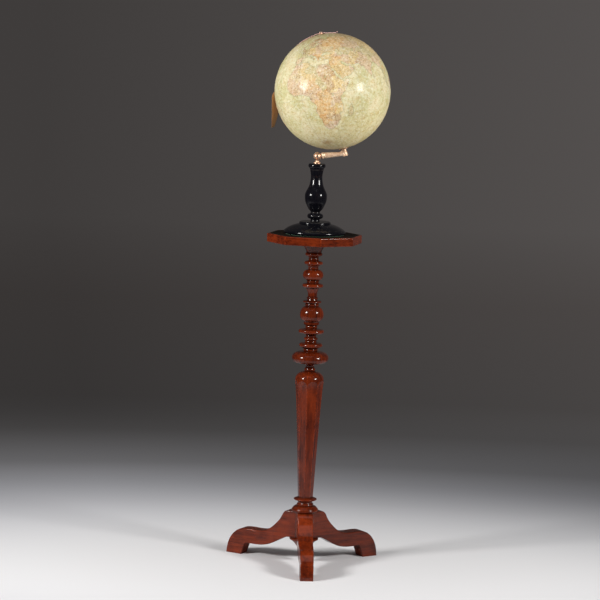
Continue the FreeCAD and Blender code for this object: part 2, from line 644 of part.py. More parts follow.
def tag_eyelet():
    """The fibre eyelet that strengthens the tag's hole: a flange on each face and a short sleeve."""
    thickness = TAG_THICKNESS + 2.0 * EYELET_FLANGE
    start = Vector(0, -thickness / 2.0, TAG_HOLE_HEIGHT)
    eyelet = Part.makeCylinder(EYELET_RADIUS, thickness, start, ACROSS)
    eyelet = eyelet.cut(tag_blank())
    eyelet = eyelet.cut(Part.makeCylinder(EYELET_BORE, thickness, start, ACROSS))
    eyelet.Placement = tag_place()
    return eyelet


def tag_loop():
    """The narrow loop of string through the eyelet and over the tag's upper edge, up to the knot."""
    wide = TAG_LOOP_HALF_WIDTH
    half_string = STRING_DIAMETER / 2.0
    low = TAG_HOLE_HEIGHT + EYELET_BORE - half_string - TAG_LOOP_SLACK + wide
    knot_bottom = STRING_ROUTE[-1][2] - 2.0 * TAG_KNOT_RADIUS - KNOT_GAP
    high = knot_bottom - wide - half_string - KNOT_GAP
    edges = [Part.LineSegment(Vector(0, wide, low), Vector(0, wide, high)).toShape(),
             Part.Arc(Vector(0, wide, high), Vector(0, 0, high + wide), Vector(0, -wide, high)).toShape(),
             Part.LineSegment(Vector(0, -wide, high), Vector(0, -wide, low)).toShape(),
             Part.Arc(Vector(0, -wide, low), Vector(0, 0, low - wide), Vector(0, wide, low)).toShape()]
    section = Part.Wire([Part.makeCircle(half_string, Vector(0, wide, low), UP)])
    loop = Part.Wire(edges).makePipeShell([section], True, True)
    loop.Placement = tag_place()
    return loop


# ---- every node ---------------------------------------------------------------------------------
def torchere():
    nodes = {"hub_block": hub_block(), "hub_pendant": hub_pendant(), "column_collar": column_collar(),
             "octagonal_shaft": octagonal_shaft(), "column_disc": column_disc(),
             "column_ring_lower": column_ring_lower(), "column_ring_upper": column_ring_upper(),
             "column_bulb": column_bulb(), "column_baluster": column_baluster(),
             "column_cup": column_cup(), "top_bearer": top_bearer(), "top_board": top_board(),
             "top_panel": top_panel()}
    blank = leg()
    for name, degrees in leg_directions().items():
        nodes[name] = turned_about(blank, degrees)
    for index in range(4):
        nodes["top_screw_%d" % (index + 1)] = top_screw(index)
    return nodes


def table_stand():
    return {"stand_pad": stand_pad(), "stand_base": stand_base(), "stand_column": stand_column(),
            "stand_ferrule": stand_ferrule(), "knuckle_fork": knuckle_fork(), "pivot_pin": pivot_pin()}


def arm():
    pin = arm_pin_blank()
    nodes = {"arm_casting": arm_casting(), "arm_pin": pin, "axis_rod": axis_rod(),
             "pole_dish": pole_dish(), "pole_washer": pole_washer(), "finial_nut": finial_nut(),
             "string_loop": string_loop()}
    for shape in nodes.values():
        shape.Placement = ARM_PLACE.multiply(shape.Placement)
    return nodes


def string_and_tag():
    x, y, height = STRING_ROUTE[-1]
    end = Vector(*TAIL_ROUTE[-1])
    onward = (end - Vector(*TAIL_ROUTE[-2])).normalize()
    tail_end = end + onward * (TAIL_KNOT_RADIUS + KNOT_GAP)
    tag_tie = (x, y, height - TAG_KNOT_RADIUS - KNOT_GAP)
    return {"string_main": cord_tube(STRING_ROUTE, STRING_DIAMETER, "string_main"),
            "string_tail": cord_tube(TAIL_ROUTE, STRING_DIAMETER, "string_tail"),
            "tail_knot": knot(tail_end, TAIL_KNOT_RADIUS, 0.9),
            "tag_knot": knot(tag_tie, TAG_KNOT_RADIUS, 1.0),
            "tag_loop": tag_loop(), "tag_card": tag_card(), "tag_eyelet": tag_eyelet()}


def globe():
    nodes = {"shell_north": hemisphere(1), "shell_south": hemisphere(-1),
             "plug_north": pole_plug(1), "plug_south": pole_plug(-1),
             "bush_north": pole_bush(1), "bush_south": pole_bush(-1),
             "calotte_north": calotte(1), "calotte_south": calotte(-1)}
    for index in range(GORE_COUNT):
        nodes["gore_%02d" % (index + 1)] = gore(index)
    for shape in nodes.values():
        shape.Placement = GLOBE_PLACE.multiply(shape.Placement)
    return nodes


def main():
    os.makedirs("parts", exist_ok=True)
    nodes = {}
    for group in (torchere, table_stand, arm, string_and_tag, globe):
        nodes.update(group())
    for name, shape in nodes.items():
        save(shape, name)
    print(len(nodes), "nodes")


main()
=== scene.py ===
"""A twelve-inch terrestrial globe on an ebonised table stand, on a mahogany tripod torchere."""

import math

import bpy
import numpy as np
from mathutils import Matrix, Vector


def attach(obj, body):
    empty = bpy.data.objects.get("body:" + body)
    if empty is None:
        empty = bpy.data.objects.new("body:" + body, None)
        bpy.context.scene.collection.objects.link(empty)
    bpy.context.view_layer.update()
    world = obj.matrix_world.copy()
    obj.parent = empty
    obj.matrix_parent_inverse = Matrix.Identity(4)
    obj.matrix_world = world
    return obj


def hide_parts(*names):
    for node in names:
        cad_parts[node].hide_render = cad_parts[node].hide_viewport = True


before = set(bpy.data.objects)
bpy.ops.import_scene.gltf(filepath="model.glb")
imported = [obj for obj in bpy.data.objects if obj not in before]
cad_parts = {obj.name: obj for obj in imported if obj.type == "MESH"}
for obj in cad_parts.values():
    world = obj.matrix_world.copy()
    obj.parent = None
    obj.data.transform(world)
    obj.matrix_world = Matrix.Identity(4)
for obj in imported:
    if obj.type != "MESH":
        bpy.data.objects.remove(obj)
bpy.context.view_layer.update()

bl_info = {
    "name": "Terrestrial globe on a torchere",
    "version": (1, 0, 0),
    "blender": (4, 5, 0),
    "location": "View3D > Sidebar > Globe",
    "description": "Finishes, map, string, tag and studio for a table globe on its tripod torchere",
    "category": "Object",
}

# ---- sizes shared with the part, in metres and degrees ------------------------------------------
GLOBE_RADIUS = 0.1524
PAPER_THICKNESS = 0.0004
AXIS_LEAN = math.radians(13.5)
GLOBE_CENTRE = np.array([0.033889, 0.0, 1.263451])
GLOBE_TURN = math.radians(-124.9)
CALOTTE_LATITUDE = 80.0
POLE_HOLE_RADIUS = 0.0055
GORE_COUNT = 12
SHAFT_TURN = math.radians(-11.0)
TOP_TURN = math.radians(5.0)
TAG_CENTRE = np.array([-0.1113, 0.0587])
TAG_TOP = 1.255
TAG_SIZE = (0.048, 0.095)
TAG_TURN = math.radians(58.0)
TAG_CORNER = 0.010
TAG_HOLE_DROP = 0.008
TAG_HOLE_RADIUS = 0.0026
LOOP_CENTRE = np.array([-0.00244, 0.0, 1.41475])
LOOP_RADIUS = 0.0049
TAG_LOOP_CENTRE = np.array([-0.1113, 0.0587, 1.25255])
MILLIMETRE = 0.001

# The string lies on the globe from the loop round the finial, and hangs to the knot over the tag.
STRING_ROUTE = [
    (-0.0076, 0.0022, 1.4136), (-0.0247, 0.0098, 1.4065), (-0.0504, 0.0217, 1.3908),
    (-0.0726, 0.0327, 1.3701), (-0.0901, 0.0422, 1.3448), (-0.1022, 0.0499, 1.3160),
    (-0.1085, 0.0555, 1.2848), (-0.1113, 0.0587, 1.2615),
]
# Its short tail lies over the top of the globe and ends in a knot.
TAIL_ROUTE = [
    (0.0033, 0.0000, 1.4164), (0.0110, -0.0020, 1.4151), (0.0200, 0.0012, 1.4162),
    (0.0290, -0.0008, 1.4167), (0.0375, 0.0005, 1.4168),
]
TAIL_KNOT_CENTRE = np.array([0.0400, 0.00094, 1.41934])
TAG_KNOT_CENTRE = np.array([-0.1113, 0.0587, 1.25975])
# Half the reach of each knot and the radius of its cord, half the width and height of the tag's
# loop, the plies of every cord and the spacing of its rings.
TAIL_KNOT_SIZE, TAIL_KNOT_CORD = 0.0017, 0.00062
TAG_KNOT_SIZE, TAG_KNOT_CORD = 0.0013, 0.00052
TAG_LOOP_HALF_SIZE = (0.0020, 0.00465)
PLIES = 3
STRING_STEP = 0.00045

# ---- the map: longitude and latitude in degrees, each outline closed -----------------------------
OBLIQUITY = math.radians(23.45)
POLAR_CIRCLE = math.radians(66.55)
STAIN_PLACE = (6.0, -54.0)
OUTLINES = {
    "africa": [
        (-6, 36), (-2, 35), (3, 37), (10, 37), (11, 34), (15, 32), (20, 31), (20, 33), (25, 32),
        (29, 31), (32, 31), (34, 28), (35, 24), (37, 21), (38, 18), (40, 15), (43, 12), (45, 10.5),
        (51, 12), (50, 8), (47, 4), (43, 0), (40, -3), (39, -7), (41, -12), (40, -16), (36, -19),
        (35, -24), (33, -27), (31, -30), (27, -34), (20, -35), (18, -33), (15, -27), (13, -20),
        (12, -15), (14, -10), (12, -5), (9, -1), (9, 3), (6, 4.5), (2, 6), (-4, 5), (-8, 4.5),
        (-12, 7), (-15, 11), (-17, 15), (-16, 20), (-14, 26), (-10, 30), (-9, 33),
    ],
    "madagascar": [(49, -12), (50.5, -16), (47.5, -25), (44, -25), (43.5, -21), (44.5, -17), (47, -15)],
    "eurasia": [
        (-6, 36.5), (-9, 37), (-9.5, 39), (-9, 43), (-2, 43.5), (-1, 46), (-4.5, 48.3), (-1.5, 49.5),
        (2, 51), (5, 53), (8, 54), (8, 57), (10.5, 57.5), (10.5, 54.5), (14, 54), (19, 54.5), (21, 57),
        (24, 57.5), (23.5, 59.3), (29, 60), (23, 60), (21.5, 61.5), (21.5, 63), (25, 65), (24, 66),
        (21.5, 65), (17.5, 62), (18.5, 60), (16.5, 57), (14.5, 55.5), (12.5, 56), (11, 59), (7, 58),
        (5, 60), (5, 62), (10, 64), (14, 67.5), (19, 70), (26, 71), (31, 70), (41, 67), (40, 66),
        (34, 66.5), (38, 64.5), (41, 65.5), (44, 66.5), (44, 68.5), (54, 68.5), (60, 69), (67, 69),
        (67, 72.5), (73, 72), (74, 67.5), (77, 72), (85, 74), (98, 76.5), (104, 77.7), (113, 74),
        (128, 72.5), (140, 72.5), (160, 70), (170, 70), (180, 69), (190, 66), (186, 64.5), (180, 65),
        (178, 62.5), (170, 60), (163, 59), (162, 56), (156.5, 51), (156, 57), (163, 61.5),
        (156, 61.5), (143, 59.5), (137, 54), (141, 52.5), (140, 48), (135, 43.5), (131, 43),
        (129.5, 40.5), (127.5, 39.5), (129.5, 37), (129, 35), (126.5, 34.5), (126.5, 37.5), (125, 38),
        (124.5, 40), (121.5, 40.5), (121, 39), (118, 39), (119, 37.5), (122.5, 37), (119.5, 35),
        (122, 31.5), (121.5, 28.5), (119, 25.5), (116, 23), (110.5, 21), (108, 21.5), (106, 19.5),
        (109, 13), (106.5, 10.5), (105, 8.7), (104.5, 10.5), (101, 13), (99.5, 11), (100.5, 7),
        (103, 4), (104, 1.5), (101.5, 2.5), (98.5, 8), (98.5, 13), (97, 17), (94.5, 16), (94, 19),
        (91.5, 22.5), (87, 21.5), (82, 16.5), (80, 15), (80, 11.5), (77.5, 8), (75, 12), (73, 17),
        (72.5, 21), (70, 21), (69, 22.5), (67, 25), (61.5, 25), (57, 27), (54, 26.5), (50.5, 30),
        (48, 30), (50, 26.5), (51.5, 25), (54, 24.2), (56.3, 26.2), (57, 24), (59.8, 22.5),
        (57.5, 19), (55, 17), (52, 15.5), (45, 13), (43.3, 12.8), (42.5, 16.5), (39, 21.5),
        (35, 28.5), (34.5, 31.3), (36, 36.5), (31, 36.3), (27.5, 37), (26.5, 39.5), (29, 41),
        (35, 42), (41.5, 41.5), (37, 45), (39, 47), (35, 46), (35, 45), (33, 44.5), (33.5, 46),
        (30.5, 46), (28, 43.5), (28.5, 41.3), (26, 40.8), (23, 40.5), (24, 38), (22.5, 36.6),
        (21, 38.5), (19.5, 42), (14, 45), (12.5, 45.3), (12.5, 44), (16, 41.5), (18.5, 40),
        (16.5, 39.5), (16, 38), (15.5, 40), (12, 42), (10.5, 43.5), (8.5, 44.3), (4, 43.4), (3, 42),
        (0, 40), (-1, 37.5), (-2, 36.7),
    ],
    "greenland": [
        (-45, 60), (-52, 64), (-54, 69), (-59, 74), (-68, 76), (-72, 78.5), (-60, 82), (-35, 83.5),
        (-20, 81.5), (-18, 77), (-21, 72), (-26, 68.5), (-38, 65.5),
    ],
    "iceland": [(-24, 65.5), (-22, 64), (-18.5, 63.5), (-14, 65), (-16, 66.4), (-20, 66)],
    "great_britain": [
        (-5.5, 50), (1, 51), (1.5, 53), (-1.5, 55), (-2, 57.5), (-4, 58.5), (-5.5, 58), (-5, 55),
        (-3, 54), (-4.5, 52.5), (-3, 51.4),
    ],
    "ireland": [(-6, 52.3), (-6, 54.5), (-8, 55.2), (-10, 53.8), (-10, 51.7)],
    "north_america": [
        (-168, 66), (-162, 67), (-166, 68.5), (-156, 71.3), (-141, 69.7), (-128, 70.3), (-115, 68.5),
        (-108, 68), (-96, 68.5), (-94, 72), (-86, 70), (-82, 68), (-86, 66.5), (-94, 61), (-92.5, 57),
        (-85, 55.3), (-82.3, 53), (-80, 51.3), (-79, 54.5), (-77, 57.5), (-78, 62.3), (-72, 61.5),
        (-68, 58.7), (-64.5, 60.3), (-61.5, 56.5), (-56, 52.5), (-60, 50), (-66, 50), (-65, 47.5),
        (-61, 46), (-65.5, 43.7), (-70.5, 43.3), (-70.3, 41.8), (-74, 40.5), (-75.8, 36.5),
        (-79.5, 33), (-81.3, 30.7), (-80.2, 25.8), (-81.8, 26), (-83, 29.3), (-89, 30.2),
        (-94.5, 29.5), (-97.3, 27.5), (-97.5, 22.5), (-95.5, 18.7), (-91.5, 18.6), (-90, 21),
        (-87, 21.3), (-88.3, 16.5), (-84, 15.7), (-83.5, 11), (-81, 9), (-78, 9.3), (-77.5, 8),
        (-80, 7.3), (-83.5, 8.8), (-87.5, 12.8), (-94, 16.2), (-99, 16.8), (-105.5, 20.2),
        (-109.3, 26), (-114.5, 31.2), (-112, 27.5), (-110, 23), (-112.5, 25.5), (-115.5, 29.5),
        (-117.2, 32.6), (-120.6, 34.6), (-123.8, 39), (-124.3, 43), (-124.2, 47.5), (-127.5, 50.8),
        (-132, 55), (-137, 58.5), (-144, 60), (-151.5, 59.5), (-157, 56.8), (-163.5, 55),
        (-158, 58.5), (-162, 60), (-166, 61.8), (-161, 64.3), (-168, 65.5),
    ],
    "south_america": [
        (-77, 8.5), (-72, 12), (-64, 10.5), (-60, 8.5), (-52, 5), (-50, 0), (-44, -2.5), (-38, -4),
        (-35, -7), (-39, -14), (-41, -22), (-48.5, -26.5), (-53, -33.5), (-58, -34.5), (-57, -37.5),
        (-62, -39), (-65, -43), (-67, -46), (-69, -51), (-65.5, -55), (-71, -54.5), (-75, -50),
        (-73.5, -42), (-73.3, -37), (-71.5, -32), (-70.3, -23), (-71, -17.7), (-76, -14),
        (-79.5, -8), (-81, -5), (-80, -3), (-80.3, 0.5), (-78.5, 2), (-77.5, 6),
    ],
    "australia": [
        (114, -22), (113.5, -26), (115.5, -31.5), (115, -34.3), (118, -35), (123.5, -34),
        (129, -31.7), (134, -32.7), (138, -34.5), (140, -38), (144, -38.5), (147, -38.8),
        (150, -37.3), (151, -34), (153, -31), (153, -25.5), (149, -21), (146, -19), (145.3, -15),
        (142.5, -10.8), (141.3, -14), (140.5, -17.5), (137, -16), (136.8, -12.3), (132, -11.5),
        (129.5, -15), (126, -14), (122, -18),
    ],
    "tasmania": [(144.8, -41), (148, -41), (147.5, -43.5), (145.5, -43)],
    "new_zealand_north": [(173, -34.5), (178.5, -37.8), (175.3, -41.5), (173.8, -39.3)],
    "new_zealand_south": [(174, -41.5), (171, -45.5), (168.5, -46.6), (166.5, -46), (171, -42)],
    "new_guinea": [(131, -1), (138, -2), (144, -4), (150.5, -10.5), (146, -8.8), (138.5, -8), (133, -4)],
    "borneo": [(109, 1), (113, 3), (117, 7), (119, 5), (117.5, 1), (116, -4), (110.5, -3)],
    "sumatra": [(95.3, 5.5), (98, 4.5), (103.5, -1), (106, -3.5), (105.5, -6), (102, -4), (98.5, 1)],
    "java": [(105.3, -6.7), (108.5, -6.7), (114.5, -7.7), (114, -8.6), (108, -7.8)],
    "celebes": [(119.5, -5.5), (119, -2.5), (120.5, 1), (125, 1.5), (121.5, -1), (122.5, -4.5)],
    "luzon": [(120, 16), (121, 18.5), (122.3, 18), (121.8, 15), (124, 12.8), (120.8, 13.8)],
    "mindanao": [(122, 7), (125.5, 9.8), (126.5, 7.5), (125.5, 5.7)],
    "japan": [
        (130, 31.3), (130, 33.5), (133, 35.5), (137, 37), (140, 41), (141.8, 39.5), (140.7, 35.8),
        (136, 33.8), (132, 33.5),
    ],
    "yezo": [(140.2, 41.6), (141.7, 45.3), (145, 43.3), (143, 42)],
    "ceylon": [(80, 9.5), (81.8, 7.5), (80.5, 6)],
    "cuba": [(-84.8, 22), (-80, 23), (-74.3, 20.2), (-78, 20.7)],
    "hispaniola": [(-74, 18.4), (-73, 19.8), (-68.5, 18.7), (-71.5, 17.9)],
    "spitsbergen": [(12, 78), (17, 80), (27, 80), (20, 77)],
    "novaya_zemlya": [(52, 71), (56, 75), (68, 77), (58, 72)],
    "baffin_land": [(-62, 66.5), (-72, 71), (-85, 73.7), (-88, 70), (-73, 66), (-66, 62.3)],
    "victoria_land": [(-116, 69.5), (-118, 73), (-106, 73), (-103, 69.5)],
    "ellesmere_land": [(-90, 77), (-88, 81), (-62, 82.7), (-76, 78)],
    "newfoundland": [(-59, 47.7), (-53, 46.8), (-55.5, 51.5)],
    "caspian": [(47, 45), (53, 47), (51, 44.5), (54, 41), (54, 37), (50, 37.5), (49.5, 41)],
    "victoria_nyanza": [(32, 0.5), (34, 0.3), (34, -2), (32, -2.5)],
}
RIVERS = [
    [(31, 31), (31, 26), (33, 22), (31, 19), (34, 17), (32.5, 15.5), (32, 10), (31, 5), (32, 1)],
    [(32.5, 15.5), (35, 12), (37, 11)],
    [(12.5, -6), (16, -3), (18, 0), (22, 2), (25, 0), (27, -6), (29, -10)],
    [(6.5, 4.8), (6.5, 8), (4, 12), (-1, 17), (-5, 14), (-10, 10)],
    [(36, -18.5), (32, -16), (28, -17), (24, -16), (22, -12)],
    [(16.5, -28.5), (20, -28.5), (25, -29.5), (28, -29)],
    [(29.5, 45), (26, 44), (21, 45), (19, 47.5), (13, 48.5), (9, 48)],
    [(48, 46), (45, 49), (49, 53), (49, 56), (43, 56.5), (36, 57.5)],
    [(72, 66.5), (67, 63), (69, 60), (76, 58.5), (84, 54), (86, 51)],
    [(82, 71.5), (86, 66), (91, 60), (92, 55)],
    [(127, 72), (124, 66), (129, 62), (118, 59), (107, 55)],
    [(48, 30.5), (44, 33), (40, 36.5), (39, 39)],
    [(67.5, 24.5), (70, 29), (73, 34), (78, 33)],
    [(90, 23), (85, 25.5), (79, 29)],
    [(121, 31.5), (114, 30), (105, 29), (99, 28), (94, 33)],
    [(118, 37.5), (110, 35), (110, 40), (103, 36)],
    [(-50, 0), (-55, -2.5), (-62, -3.5), (-70, -3.5), (-76, -6)],
    [(-58, -34), (-60, -30), (-57, -25), (-54, -20)],
    [(-89.5, 29.5), (-91, 34), (-89, 38), (-91, 43), (-95, 47)],
    [(-90, 39), (-96, 42), (-103, 47), (-111, 47)],
    [(-134, 69), (-128, 64), (-117, 61), (-112, 56)],
]
# The tints that the countries are washed with, and each country's longitude, latitude and tint.
TINTS = {
    "rose": (0.740, 0.520, 0.420),
    "yellow": (0.820, 0.620, 0.240),
    "orange": (0.780, 0.400, 0.110),
    "green": (0.560, 0.580, 0.330),
    "buff": (0.780, 0.640, 0.380),
    "brown": (0.500, 0.270, 0.120),
    "blue": (0.520, 0.580, 0.480),
}
COUNTRIES = [
    (-6, 32, "rose"), (3, 29, "yellow"), (14, 29, "green"), (28, 28, "rose"), (31, 20, "brown"),
    (31, 12, "brown"), (39, 9, "yellow"), (46, 6, "buff"), (-6, 23, "buff"), (10, 21, "yellow"),
    (-13, 14, "rose"), (-4, 9, "rose"), (13, 12, "orange"), (23, 14, "green"), (14, 3, "rose"),
    (24, -1, "orange"), (37, -4, "rose"), (16, -12, "orange"), (36, -14, "yellow"),
    (26, -13, "orange"), (20, -23, "orange"), (23, -31, "rose"), (29, -25, "brown"),
    (47, -19, "green"), (-4, 40, "rose"), (2, 47, "green"), (11, 51, "yellow"), (18, 47, "rose"),
    (13, 43, "green"), (24, 42, "orange"), (16, 63, "brown"), (26, 62, "rose"), (38, 60, "orange"),
    (34, 50, "buff"), (50, 55, "orange"), (-3, 54, "brown"), (-8, 53, "green"), (-19, 65, "buff"),
    (34, 39, "yellow"), (38, 34, "orange"), (45, 24, "yellow"), (47, 17, "buff"), (54, 32, "rose"),
    (62, 41, "green"), (66, 33, "yellow"), (74, 28, "rose"), (79, 17, "rose"), (70, 62, "orange"),
    (92, 60, "buff"), (118, 62, "yellow"), (150, 64, "orange"), (72, 49, "rose"), (103, 46, "yellow"),
    (112, 34, "yellow"), (108, 26, "buff"), (88, 32, "green"), (96, 21, "rose"), (102, 15, "green"),
    (107, 16, "yellow"), (127, 40, "rose"), (138, 36, "rose"), (114, 0, "rose"), (102, 0, "green"),
    (121, 14, "yellow"), (141, -5, "green"), (120, -25, "yellow"), (133, -19, "rose"),
    (135, -29, "orange"), (146, -22, "green"), (147, -32, "rose"), (144, -37, "yellow"),
    (172, -42, "rose"), (-152, 64, "yellow"), (-118, 58, "rose"), (-98, 57, "orange"),
    (-75, 54, "rose"), (-115, 40, "yellow"), (-100, 40, "green"), (-82, 38, "orange"),
    (-90, 33, "rose"), (-102, 24, "green"), (-86, 14, "rose"), (-42, 72, "buff"), (-79, 21, "rose"),
    (-73, 4, "yellow"), (-66, 7, "rose"), (-58, 4, "green"), (-75, -10, "orange"),
    (-56, -8, "green"), (-45, -15, "green"), (-64, -17, "rose"), (-64, -34, "yellow"),
    (-71, -30, "rose"), (-69, -46, "buff"), (-58, -23, "orange"), (-56, -32, "rose"),
    (85, 70, "buff"), (-75, 78, "rose"), (140, 50, "green"),
]


# ---- shader maths as Python expressions ----------------------------------------------------------
class Wire:
    """One output socket of a finish, on which Python's own arithmetic adds the Math nodes."""

    def __init__(self, finish, socket):
        self.finish = finish
        self.socket = socket

    def math(self, operation, *others):
        values = dict(enumerate((self, *others)))
        return self.finish.add("ShaderNodeMath", {"operation": operation}, values)

    def reflected(self, operation, other):
        return self.finish.add("ShaderNodeMath", {"operation": operation}, {0: other, 1: self})

    def __add__(self, other):
        return self.math("ADD", other)

    def __radd__(self, other):
        return self.reflected("ADD", other)

    def __sub__(self, other):
        return self.math("SUBTRACT", other)

    def __rsub__(self, other):
        return self.reflected("SUBTRACT", other)

    def __mul__(self, other):
        return self.math("MULTIPLY", other)

    def __rmul__(self, other):
        return self.reflected("MULTIPLY", other)

    def __truediv__(self, other):
        return self.math("DIVIDE", other)

    def __pow__(self, other):
        return self.math("POWER", other)

    def __abs__(self):
        return self.math("ABSOLUTE")

    def least(self, other):
        return self.math("MINIMUM", other)

    def most(self, other):
        return self.math("MAXIMUM", other)

    def rise(self, low, high):
        """0 below low and 1 above high, with a smooth step between; low may be the larger."""
        return self.finish.add(
            "ShaderNodeMapRange",
            {"interpolation_type": "SMOOTHSTEP", "clamp": True},
            {"Value": self, "From Min": low, "From Max": high},
        )

    def to_nearest(self, step):
        """How far the value is from the nearest whole multiple of step."""
        return abs(self.math("PINGPONG", step / 2.0))


class Finish:
    """A material in the making: one Principled shader and the nodes that feed it."""

    def __init__(self, name):
        self.material = bpy.data.materials.new(name)
        self.material.use_nodes = True
        self.tree = self.material.node_tree
        self.tree.nodes.clear()

    def feed(self, socket, value):
        if isinstance(value, Wire):
            self.tree.links.new(value.socket, socket)
        elif socket.type == "RGBA":
            socket.default_value = (*value[:3], 1.0)
        else:
            socket.default_value = value

    def add(self, kind, settings=None, values=None, out=0):
        """Any node: its settings are set first, then the values or links of its sockets."""
        node = self.tree.nodes.new(kind)
        for name, value in (settings or {}).items():
            if name == "stops":
                for index, (at, colour) in enumerate(value):
                    stops = node.color_ramp.elements
                    stop = stops[index] if index < len(stops) else stops.new(at)
                    stop.position = at
                    stop.color = (*colour, 1.0)
            else:
                setattr(node, name, value)
        for key, value in (values or {}).items():
            self.feed(node.inputs[key], value)
        return Wire(self, node.outputs[out])

    def spot(self):
        return self.add("ShaderNodeTexCoord", out="Object")

    def attribute(self, name, out="Fac"):
        return self.add("ShaderNodeAttribute", {"attribute_name": name}, out=out)

    def split(self, vector):
        node = self.add("ShaderNodeSeparateXYZ", None, {0: vector}).socket.node
        return [Wire(self, socket) for socket in node.outputs]

    def join(self, x, y, z):
        return self.add("ShaderNodeCombineXYZ", None, {0: x, 1: y, 2: z})

    def dot(self, vector, direction):
        values = {0: vector, 1: tuple(direction)}
        return self.add("ShaderNodeVectorMath", {"operation": "DOT_PRODUCT"}, values, "Value")

    def scaled(self, vector, factors):
        return self.add("ShaderNodeVectorMath", {"operation": "MULTIPLY"}, {0: vector, 1: factors})

    def noise(self, vector, scale, detail=3.0, roughness=0.5, distortion=0.0):
        values = {
            "Vector": vector, "Scale": scale, "Detail": detail,
            "Roughness": roughness, "Distortion": distortion,
        }
        return self.add("ShaderNodeTexNoise", None, values)

    def cells(self, vector, scale, feature="DISTANCE_TO_EDGE"):
        values = {"Vector": vector, "Scale": scale}
        return self.add("ShaderNodeTexVoronoi", {"feature": feature}, values, "Distance")

    def mix(self, factor, first, second, blend="MIX"):
        settings = {"data_type": "RGBA", "blend_type": blend, "clamp_factor": True}
        return self.add("ShaderNodeMix", settings, {0: factor, 6: first, 7: second}, 2)

    def layers(self, colour, coats, blend="MIX"):
        """A colour under several coats, each a factor and a tint, laid one after another."""
        for factor, tint in coats:
            colour = self.mix(factor, colour, tint, blend)
        return colour

    def bump(self, height, distance, strength=1.0):
        values = {"Height": height, "Distance": distance, "Strength": strength}
        return self.add("ShaderNodeBump", None, values)

    def surface(self, **sockets):
        """The Principled shader, with each socket's value or link, ends the finish."""
        values = {name.replace("_", " "): value for name, value in sockets.items()}
        shader = self.add("ShaderNodeBsdfPrincipled", None, values)
        self.add_output(shader)
        return self.material

    def add_output(self, shader):
        node = self.tree.nodes.new("ShaderNodeOutputMaterial")
        self.tree.links.new(shader.socket, node.inputs["Surface"])


def times(factor, colour):
    """A colour darkened or lightened by a factor."""
    return [factor * value for value in colour]


def nearest(value, heights):
    """The distance from a value to the nearest of several heights."""
    gap = abs(value - heights[0])
    for height in heights[1:]:
        gap = gap.least(abs(value - height))
    return gap


# ---- finishes ------------------------------------------------------------------------------------
COLUMN_QUIRKS = (
    0.1380, 0.1785, 0.5185, 0.5290, 0.5725, 0.5815, 0.5950, 0.6015, 0.6105, 0.6175, 0.6330, 0.6430,
    0.6525, 0.6930, 0.7010, 0.7090, 0.7180, 0.7425, 0.7555, 0.7625, 0.7920, 0.7985, 0.8150, 0.8220,
    0.8370, 0.8628,
)
STAND_QUIRKS = (0.8990, 0.9190, 0.9340, 0.9430, 1.0560, 1.0720)


def mahogany(name, wood, along, shade=1.0, seed=0.0, corners=None, quirks=()):
    """French-polished mahogany: long streaks and short dark pores run along the grain, a slow
    ribbon figure crosses it, grime, old polish and painted shade darken the quirks and the arrises are
    worn."""
    finish = Finish(name)
    along = np.array(along, float)
    side = np.cross(along, (0.0, 0.0, 1.0) if abs(along[2]) < 0.9 else (1.0, 0.0, 0.0))
    side /= np.linalg.norm(side)
    spot = finish.spot()
    length = finish.dot(spot, along) + seed
    across = finish.dot(spot, side) + seed
    depth = finish.dot(spot, np.cross(along, side))
    sway = finish.noise(finish.join(length * 4.0, across * 9.0, depth * 9.0), 1.0, 2.0) - 0.5
    grain = finish.join(length * 0.05, across + sway * 0.012, depth + sway * 0.012)
    streaks = finish.noise(grain, 150.0, 4.0, 0.62, 0.3)
    hairs = finish.noise(grain, 620.0, 3.0, 0.6)
    ribbon = finish.noise(finish.join(length * 14.0, across * 22.0, depth * 22.0), 1.0, 2.0, 0.5, 0.8)
    pores = finish.noise(finish.join(length * 0.07, across, depth), 1900.0, 1.0).rise(0.60, 0.72)
    tone = (streaks - 0.5) * 1.1 + (hairs - 0.5) * 0.6 + (ribbon - 0.5) * 0.9 + 0.5
    # Shade scales both colours of the wood; on the legs it is painted light and shade.
    light = times(shade, wood.mahogany_light)
    dark = times(shade, wood.mahogany_dark)
    colour = finish.mix(tone.rise(0.05, 0.95), dark, light)
    colour = finish.mix(pores * 0.55, colour, times(0.35, dark))
    x, y, z = finish.split(spot)
    if quirks:
        # Grime and painted shade: the colour darkens within a few millimetres of each quirk's height.
        quirk_grime_and_painted_shade = nearest(z, quirks).rise(0.0045, 0.0004) * (0.75 + 0.5 * sway)
        colour = finish.mix(quirk_grime_and_painted_shade * 0.75, colour, times(0.22, dark))
    if corners is not None:
        turn = y.math("ARCTAN2", x) - (corners - math.pi / 2.0)
        reach = (x * x + y * y) ** 0.5
        wear = (turn.to_nearest(math.pi / 4.0) * reach).rise(0.0011, 0.0002)
        scuffs = finish.noise(spot, 160.0, 3.0, 0.6).rise(0.42, 0.62)
        worn = [min(1.0, 2.1 * value) for value in light]
        colour = finish.mix(wear * scuffs * 0.6, colour, worn)
    smears = finish.noise(spot, 26.0, 3.0, 0.6)
    roughness = wood.polish + smears * 0.10 + pores * 0.15
    height = hairs * 0.25 - pores * 0.8 + finish.noise(spot, 42.0, 2.0) * 1.4
    return finish.surface(
        Base_Color=colour, Roughness=roughness, Specular_IOR_Level=0.05,
        Coat_Weight=0.50, Coat_Roughness=0.028, Coat_IOR=1.5,
        Normal=finish.bump(height, 0.00006, 0.35),
    )


